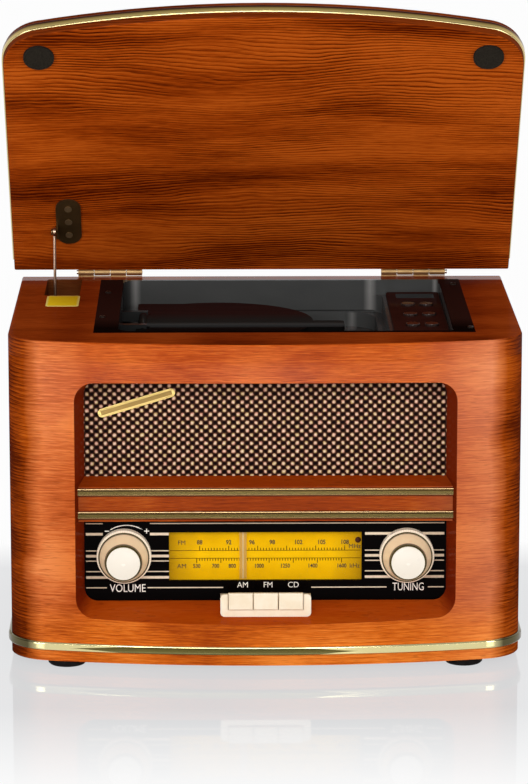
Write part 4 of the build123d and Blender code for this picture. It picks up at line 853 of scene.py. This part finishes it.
def ticks(start, spacing, count, base, tall, long_every):
    """Scale marks that stand on a line. Negative heights hang from it."""
    along = (dial_x - start) / spacing
    mark = along.maths("PINGPONG", 0.5) * spacing
    thin = 1 - mark.above(0.00028, 0.00020)
    major = (along / long_every).maths("PINGPONG", 0.5) * (spacing * long_every)
    major = 1 - major.above(0.0006, 0.0002)
    reach = tall * 0.55 + major * (tall * 0.45)
    up = (dial_z - base) * (1 if tall > 0 else -1)
    inside = up.above(0, 0.0002) * (1 - (up - reach.size()).above(0, 0.0002))
    within = along.near(count / 2, count / 2 + 0.3, 0.1)
    return thin * inside * within


marks = ticks(FM_FIRST, SCALE_LONG / 50, 50, FM_LINE, 0.0030, 10)
marks = marks.most(ticks(AM_FIRST, SCALE_LONG / 54, 54, AM_LINE, -0.0030, 9))
marks = marks.most(dial_z.near(FM_LINE, 0.00020, 0.00018))
marks = marks.most(dial_z.near(AM_LINE, 0.00020, 0.00018))
marks = marks * dial_x.near(0, LINES_HALF_WIDE, 0.0003)
dial.colour(dial.mix(marks * 0.9, yellow, (0.045, 0.016, 0.002)))
# Painted light: the scale glows a little, like a lit dial.
dial.glow(dial.mix(marks * 0.9, yellow, (0.01, 0.004, 0.001)), 0.30)
dress(dial, "dial_plate")

SCALE_INK = (0.4, (0.008, 0.003, 0.001))
FADED_INK = (0.7, (0.030, 0.012, 0.002))
FM_NUMBERS = (
    ("88", 0), ("92", 0.20), ("96", 0.36), ("98", 0.50), ("102", 0.68), ("105", 0.84), ("108", 1),
)
AM_NUMBERS = (
    ("530", 0), ("700", 0.13), ("800", 0.245), ("1000", 0.43), ("1250", 0.61), ("1400", 0.80),
    ("1600", 1),
)
dial_ink = mottled("dial_ink", 800, SCALE_INK, FADED_INK, Roughness=0.6)
for band, numbers, first, z, tall, narrow, heavy in (
    ("fm", FM_NUMBERS, FM_FIRST, 0.0743, 0.0027, 0.90, 0.00009),
    ("am", AM_NUMBERS, AM_FIRST, 0.0590, 0.0025, 0.85, 0.00008),
):
    for text, share in numbers:
        x = first + SCALE_LONG * share
        words(f"{band}_number_{text}", text, x, z, plate_front, tall, dial_ink, narrow, heavy)
for name, text, x, z in (
    ("fm_band_word", "FM", -0.0525, 0.0741),
    ("am_band_word", "AM", -0.0525, 0.0589),
    ("fm_unit_word", "MHz", 0.0562, 0.0716),
    ("am_unit_word", "kHz", 0.0562, 0.0590),
):
    words(name, text, x, z, plate_front, 0.0028, dial_ink)

POINTER_X = -0.014
pointer = Look("pointer_amber", Roughness=0.22, Specular_IOR_Level=0.5)
cloudy = pointer.noise(pointer.stretched(500, 500, 200))
amber = pointer.mix(cloudy * 0.4, (0.78, 0.44, 0.06), (0.86, 0.56, 0.14))
core = pointer.axes()[0].near(POINTER_X, 0.00035, 0.0003)
pointer.colour(pointer.mix(core * 0.75, amber, (0.95, 0.80, 0.45)))
pointer.shader.inputs["Alpha"].default_value = 0.62
dress(pointer, "dial_pointer")
clear = Look("window_clear", (0.02, 0.02, 0.02), Roughness=0.04, Specular_IOR_Level=0.03)
smear = clear.specks(70).above(0.6, 0.3)
clear.put(clear.shader.inputs["Alpha"], 0.04 + smear * 0.03)
dress(clear, "dial_window")

# ------------------------------------------------------------------ stereo lamp
# A small dark lens pushed through the scale at its top right corner.
LAMP_RADIUS = 0.0019
LAMP_X = 0.0583
LAMP_Z = 0.0758
LAMP_SHADOW = (0.3, (0.05, 0.010, 0.004))
LAMP_RED = (0.7, (0.09, 0.022, 0.008))
lamp_lens = mottled(
    "lamp_lens", 1200, LAMP_SHADOW, LAMP_RED, Roughness=0.30, Specular_IOR_Level=0.15
)
bpy.ops.object.select_all(action="DESELECT")
bpy.ops.mesh.primitive_uv_sphere_add(segments=24, ring_count=12, radius=LAMP_RADIUS)
lamp = bpy.context.object
lamp.name = "stereo_lamp"
bpy.ops.object.mode_set(mode="EDIT")
bpy.ops.mesh.select_all(action="SELECT")
bpy.ops.mesh.bisect(
    plane_co=(0, 0.0006, 0), plane_no=(0, 1, 0), clear_outer=True, use_fill=True
)
bpy.ops.mesh.select_all(action="SELECT")
bpy.ops.mesh.normals_make_consistent(inside=False)
bpy.ops.object.mode_set(mode="OBJECT")
lamp.scale = (1, 0.55, 1)
lamp.location = (LAMP_X, plate_front - 0.0002, LAMP_Z)
finish_piece(lamp, lamp_lens, "cabinet")

# ------------------------------------------------------------------ knobs
# Turned knobs with a beige flared skirt and a finely knurled rim, and a gilt line round
# the ivory cap and the skirt, pushed onto their shafts.
KNOB_X = 0.0886
KNOB_Z = 0.0677
CAP_RADIUS = 0.0108
RIM_RADIUS = 0.0152
KNURLS = 72
knob = Look("knob_beige", Specular_IOR_Level=0.3, Coat_Weight=0.9, Coat_Roughness=0.35)
knob_x, _, knob_z = knob.axes()
off_x = knob_x.size() - KNOB_X
off_z = knob_z - KNOB_Z
radius = (off_x * off_x + off_z * off_z).maths("SQRT")
grainy = knob.specks(260, 3, 0.6)
skirt = knob.mix(grainy, (0.96, 0.68, 0.40), (1.0, 0.76, 0.48))
rim = knob.mix(grainy, (0.94, 0.80, 0.60), (1.0, 0.88, 0.70))
around = off_x.maths("ARCTAN2", off_z) * (KNURLS / (2 * math.pi))
knurl = around.maths("PINGPONG", 0.5) * 2 * radius.above(RIM_RADIUS + 0.0008, 0.0006)
rim = knob.mix(knurl * 0.35, rim, (0.45, 0.36, 0.28))
skirt = knob.mix(radius.above(RIM_RADIUS, 0.0012), skirt, rim)
# Painted shadow lines: a dark ring just outside the cap and a thinner one at the rim's edge.
cap_shadow_line = radius.near(CAP_RADIUS + 0.0005, 0.0006, 0.0003)
rim_shadow_line = radius.near(RIM_RADIUS, 0.0002, 0.0002)
skirt = knob.mix(cap_shadow_line.most(rim_shadow_line * 0.7) * 0.9, skirt, (0.05, 0.030, 0.010))
on_cap = 1 - radius.above(CAP_RADIUS, 0.0004)
knob.colour(knob.mix(on_cap, skirt, (0.83, 0.755, 0.64)))
# Painted light: the skirt glows faintly to lighten it; the cap doesn't.
knob.glow(knob.mix(on_cap, skirt, (0, 0, 0)), 0.24)
knob.rough(0.30 + (grainy - 0.5) * 0.15)
knob.bump(knurl, 0.0001)
dress(knob, "volume_knob", "tuning_knob")
gilt = brass("knob_gilt", 0.34, (0.060, 0.042, 0.012), (0.035, 0.024, 0.008))
dress(gilt, "volume_knob_rings", "tuning_knob_rings")

# ------------------------------------------------------------------ band keys
# Three ivory keys in a moulded ivory frame at the foot of the fascia. The dial's drum,
# behind it, is moulded in the same ivory.
ivory = Look("ivory_plastic", Coat_Weight=0.1)
tint = ivory.specks(120, 3, 0.6)
ivory.colour(ivory.ramp(tint, (0.35, (0.88, 0.745, 0.535)), (0.65, (0.93, 0.82, 0.63))))
ivory.rough(0.30 + tint * 0.08)
dress(ivory, "button_bezel", "band_key_am", "band_key_fm", "band_key_cd", "dial_drum")

# ------------------------------------------------------------------ works behind the front
# Pressed and plated steel: speaker frames, controls, switch, pointer rod and the stay's
# guide, bolted to the speaker board or the cabinet side.


def steel(name, rough, light, dark):
    """Plated steel with faint stains and a fine orange peel."""
    look = Look(name, Metallic=1.0)
    stain = look.specks(80, 3, 0.65)
    speckle = look.specks(900)
    look.colour(look.mix(stain.above(0.5, 0.4), light, dark))
    look.rough(rough + (stain - 0.5) * 0.25 + (speckle - 0.5) * 0.1)
    look.bump(speckle, 0.00003)
    return look


pressed = steel("pressed_steel", 0.38, (0.48, 0.47, 0.45), (0.33, 0.32, 0.31))
dress(pressed, "left_speaker", "right_speaker", "volume_control", "tuning_control")
dress(pressed, "band_switch", "stay_guide", "pointer_rail", "rear_panel_screws")
CONE_BLACK = (0.35, (0.016, 0.015, 0.014))
CONE_GREY = (0.7, (0.050, 0.047, 0.043))
cone_paper = mottled(
    "speaker_paper", 1300, CONE_BLACK, CONE_GREY, 3, 0.7, depth=0.0002, Roughness=0.92
)
dress(cone_paper, "speaker_cones")

# ------------------------------------------------------------------ electrics
# A green circuit board on posts over the base, a laminated transformer and a moulded
# mains inlet in the back.
BOARD_TOP = 0.0236
board = Look("board_green", Coat_Weight=0.3)
tracks = board.noise(board.stretched(160, 160, 30), 2, 0.4).near(0.5, 0.035, 0.02)
green = board.mix(tracks * 0.8, (0.012, 0.085, 0.030), (0.040, 0.19, 0.075))
on_parts = board.axes()[2].above(BOARD_TOP, 0.0004)
board.colour(board.mix(on_parts, green, (0.030, 0.030, 0.034)))
board.rough(0.32 + tracks * 0.2)
dress(board, "main_circuit_board")
iron = Look("transformer_iron", Roughness=0.45, Metallic=0.6)
sheets = (iron.axes()[0] * 2000).maths("PINGPONG", 0.5) * 2
iron.colour(iron.mix(sheets * 0.6, (0.16, 0.16, 0.17), (0.06, 0.06, 0.07)))
iron.bump(sheets, 0.0001)
dress(iron, "power_transformer")
INLET_BLACK = (0.3, (0.010, 0.010, 0.010))
INLET_GREY = (0.7, (0.030, 0.030, 0.030))
moulded_black = mottled(
    "inlet_black", 1000, INLET_BLACK, INLET_GREY, depth=0.00008, Roughness=0.45
)
dress(moulded_black, "mains_inlet")

# ------------------------------------------------------------------ CD deck
# One vacuum formed tray of black plastic let into the top, with a smooth sheen in the
# well and a flatter flange, screwed down at its corners.
# The well's front left and its left wall carry painted shade, and painted highlights run down its
# moulded corners. Its back wall has a step.
SHADE_RIGHT = -0.0700
SHADE_BACK = 0.060
LEFT_WALL = -0.0885
BACK_WALL = 0.084
BACK_STEP = 0.1880
BAY_CORNER = -0.0840
PANEL_CORNER = 0.0600
STEP_CORNER = 0.0720
RIGHT_CORNER = 0.1150
WELL_SHADE_BLACK = (0.007, 0.007, 0.007)
HIGHLIGHT_GREY = (0.26, 0.255, 0.245)
deck_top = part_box("deck_tray")[1].z
deck = Look("deck_plastic", Specular_IOR_Level=0.0, Coat_Roughness=0.22)
deck_x, deck_y, deck_z = deck.axes()
scuff = deck.noise(deck.stretched(30, 30, 60), 3, 0.6)
well = deck.mix(scuff, (0.044, 0.045, 0.044), (0.062, 0.063, 0.061))
# Painted shade on the well's front left and along its left wall.
shaded_left_front = (1 - deck_x.above(SHADE_RIGHT, 0.006)) * (1 - deck_y.above(SHADE_BACK, 0.02))
shaded_left_wall = 1 - deck_x.above(LEFT_WALL, 0.0050)
well = deck.mix(shaded_left_front.most(shaded_left_wall) * 0.80, well, WELL_SHADE_BLACK)
on_wall = deck_y.above(BACK_WALL, 0.006)
over_step = deck_z.above(BACK_STEP, 0.001)
under_step = 1 - deck_z.above(BACK_STEP - 0.0010, 0.001)
# Painted highlights down the moulded corners of the well.
painted_corner_highlights = deck_x.near(STEP_CORNER, 0.0015, 0.0060) * over_step
painted_corner_highlights = painted_corner_highlights.most(deck_x.near(BAY_CORNER, 0.0010, 0.0055) * 0.9)
painted_corner_highlights = painted_corner_highlights.most(deck_x.near(PANEL_CORNER, 0.001, 0.005) * under_step * 0.7)
painted_corner_highlights = painted_corner_highlights.most(deck_x.near(RIGHT_CORNER, 0.0006, 0.0030)) * on_wall
well = deck.mix(painted_corner_highlights, well, HIGHLIGHT_GREY)
step_line = deck_z.near(BACK_STEP, 0.0004, 0.0005) * deck_x.near(0.0480, 0.0270, 0.002) * on_wall
well = deck.mix(step_line * 0.9, well, (0.004, 0.004, 0.004))
behind_well = deck_y.above(0.0880, 0.0010) * deck_x.near(0.0125, 0.1045, 0.0006)
flange = deck_z.above(deck_top - 0.0022, 0.0006) * (1 - behind_well)
# Painted reflection: the flange is near black, tinted with the lid's red brown more towards the
# back.
towards_back = deck_y.above(-0.050, 0.030)
flange_lid_reflection = deck.mix(towards_back, (0.0045, 0.0018, 0.0014), (0.026, 0.0085, 0.0060))
deck.colour(deck.mix(flange, well, flange_lid_reflection))
deck.coat(0.55 - flange * 0.54)
deck.rough(0.30 + (scuff - 0.5) * 0.1)
deck.bump(deck.specks(420), 0.00004)
dress(deck, "deck_tray")

SCREW_RADIUS = 0.0019
DECK_SCREWS = ((-0.1010, 0.0530), (-0.1025, -0.0300), (0.1262, 0.0800), (0.1285, -0.0670))
screw_black = Look("screw_black", Metallic=0.8)
turned_marks = screw_black.specks(700)
screw_black.colour(screw_black.mix(turned_marks, (0.014, 0.010, 0.008), (0.060, 0.045, 0.035)))
screw_black.rough(0.35 + turned_marks * 0.1)


def pan_screw(name, x, y, spin):
    """A crosshead pan screw, its head on the deck's flange."""
    bpy.ops.object.select_all(action="DESELECT")
    bpy.ops.mesh.primitive_cylinder_add(vertices=24, radius=SCREW_RADIUS, depth=0.0008)
    screw = bpy.context.object
    screw.name = name
    bpy.ops.object.mode_set(mode="EDIT")
    select_faces(screw, (0, 0, 1))
    bpy.ops.mesh.inset(thickness=SCREW_RADIUS * 0.25, depth=SCREW_RADIUS * 0.16)
    bpy.ops.mesh.inset(thickness=SCREW_RADIUS * 0.3, depth=SCREW_RADIUS * 0.05)
    bpy.ops.mesh.inset(thickness=SCREW_RADIUS * 0.2, depth=-SCREW_RADIUS * 0.2)
    bpy.ops.object.mode_set(mode="OBJECT")
    screw.rotation_euler = (0, 0, spin)
    screw.location = (x, y, deck_top + 0.0004)
    return screw


for index, (x, y) in enumerate(DECK_SCREWS):
    head = pan_screw(f"deck_screw_{index + 1}", x, y, index * 0.7)
    finish_piece(head, screw_black, "cabinet")

# ------------------------------------------------------------------ disc door
# A glossy dark moulded lid over the disc bay, hinged at its back edge, and beside it the
# key panel with its display and six small black keys. The works below are moulded too.
DOOR_LIP_Y = 0.0175
DOOR_REAR_Y = 0.046
door = Look("door_gloss", Specular_IOR_Level=0.0, Coat_Weight=0.05, Coat_Roughness=0.05)
# The door's colour is painted reflection: the lid's red brown towards the back, a grey band in
# front of it, and black along the front lip.
door_y = door.axes()[1]
flow = door.noise(door.stretched(18, 160, 160))
painted_lid_reflection = door.mix(flow, (0.021, 0.0055, 0.0042), (0.042, 0.0125, 0.0095))
lip_and_reflection_tones = ((0.0045, 0.0040, 0.0036), (0.021, 0.0185, 0.0160))
painted_room_reflection = door.mix(door_y.above(DOOR_LIP_Y, 0.003), *lip_and_reflection_tones)
door.colour(door.mix(door_y.above(DOOR_REAR_Y, 0.020), painted_room_reflection, painted_lid_reflection))
door.rough(0.30 + flow * 0.1)
dress(door, "cd_door")
panel = Look("panel_gloss", Specular_IOR_Level=0.0, Coat_Weight=0.05, Coat_Roughness=0.08)
# Painted reflection: the panel's maroon is the lid's red brown seen in its near black gloss.
wash = panel.specks(60)
panel.colour(panel.mix(wash, (0.026, 0.0075, 0.0055), (0.046, 0.0140, 0.0100)))
panel.rough(0.30 + wash * 0.1)
dress(panel, "control_panel")
LENS_BLACK = (0.3, (0.005, 0.004, 0.004))
LENS_GREY = (0.7, (0.012, 0.010, 0.010))
display_lens = mottled(
    "display_lens", 150, LENS_BLACK, LENS_GREY, Roughness=0.10, Specular_IOR_Level=0.03
)
dress(display_lens, "display_window")
KEY_BLACK = (0.3, (0.014, 0.007, 0.006))
KEY_BROWN = (0.7, (0.040, 0.026, 0.022))
key_gloss = mottled("key_grey", 500, KEY_BLACK, KEY_BROWN, Roughness=0.16, Specular_IOR_Level=0.55)
dress(key_gloss, *[f"cd_key_{index}" for index in range(1, 7)])
dress(moulded_black, "cd_mechanism", "cd_spindle", "pickup_sled")

# ------------------------------------------------------------------ blank label
# A small yellow paper label with rounded corners, left blank, stuck on the top in front
# of the stay's slot.
LABEL_X = -0.12965
LABEL_Y = 0.0240
LABEL_WIDE = 0.0213
LABEL_DEEP = 0.0354
LABEL_THICK = 0.0003
label_look = Look("label_yellow", Specular_IOR_Level=0.0)
label_x, label_y, _ = label_look.axes()
paper_grain = label_look.specks(600, 3, 0.6)
inside_edge = label_x.near(-0.1297, 0.0094, 0.0008) * label_y.near(LABEL_Y, 0.0162, 0.0008)
printed_yellow = label_look.mix(paper_grain, (0.76, 0.51, 0.008), (0.86, 0.62, 0.020))
label_look.colour(label_look.mix(inside_edge, (0.80, 0.64, 0.16), printed_yellow))
label_look.rough(0.45 + paper_grain * 0.1)
label = rounded_plate("blank_label", LABEL_WIDE, LABEL_DEEP, LABEL_THICK, 0.0022, 0.00008)
label.rotation_euler = (math.radians(-90), 0, 0)
label.location = (LABEL_X, LABEL_Y, deck_top + 0.00012)
finish_piece(label, label_look, "cabinet")

# ------------------------------------------------------------------ lid
# A veneered board with dark rings in its long level grain, edged with brass strip, with
# two foam pads near its front corners.
LID_TONES = ((0.060, 0.0055, 0.0003), (0.27, 0.037, 0.0020), (0.48, 0.090, 0.0075))
LID_EDGE_TONES = ((0.05, 0.006, 0.0006), (0.13, 0.018, 0.0015), (0.20, 0.032, 0.0030))
lid_veneer = Veneer("lid_veneer", 0.85, True, (-LID_OPEN, 0, 0), swirl=0.050, waver=0.0026)
lid_tone = 0.55 + lid_veneer.broad * 1.7 + lid_veneer.streak * 0.8 + lid_veneer.fine * 0.8
lid_tone = lid_tone - (lid_veneer.ring - 0.33) * lid_veneer.lines
lid_edge = lid_veneer.wood(lid_tone, LID_EDGE_TONES)
lid_wood = lid_veneer.mix(lid_veneer.face, lid_edge, lid_veneer.wood(lid_tone, LID_TONES))
lid_veneer.lacquer(lid_wood, 0.06 - lid_veneer.face * 0.045)
dress(lid_veneer, "lid_board")
FOAM_PITS = (0.35, (0.008, 0.007, 0.005))
FOAM_SKIN = (0.68, (0.040, 0.033, 0.025))
foam = mottled(
    "pad_foam", 2600, FOAM_PITS, FOAM_SKIN, 2, 0.6, 0.0003, Roughness=0.9, Specular_IOR_Level=0.0
)
dress(foam, "lid_pads")

# ------------------------------------------------------------------ hinges
# Two brass butt hinges with rolled knuckles on a steel pin, screwed to the back edges of
# the cabinet and the lid.
hinge_brass = brass("hinge_brass", 0.55, (0.54, 0.35, 0.16), (0.34, 0.20, 0.08))
dress(hinge_brass, "cabinet_hinge_leaves", "lid_hinge_leaves")
pin_steel = steel("pin_steel", 0.25, (0.70, 0.66, 0.58), (0.55, 0.50, 0.42))
dress(pin_steel, "hinge_pins")

# ------------------------------------------------------------------ stay
# A bent steel wire that hooks into a bronzed bracket on the lid and slides in a slotted
# guide inside the cabinet.
bronze = brass("antique_bronze", 0.32, (0.12, 0.070, 0.026), (0.050, 0.028, 0.012), metallic=0.75)
dress(bronze, "stay_bracket")
worn_screw = brass("worn_screw", 0.34, (0.20, 0.13, 0.065), (0.10, 0.06, 0.030), metallic=0.6)
dress(worn_screw, "stay_bracket_screws")
wire = steel("stay_wire", 0.34, (0.52, 0.35, 0.25), (0.32, 0.20, 0.14))
dress(wire, "stay_wire")
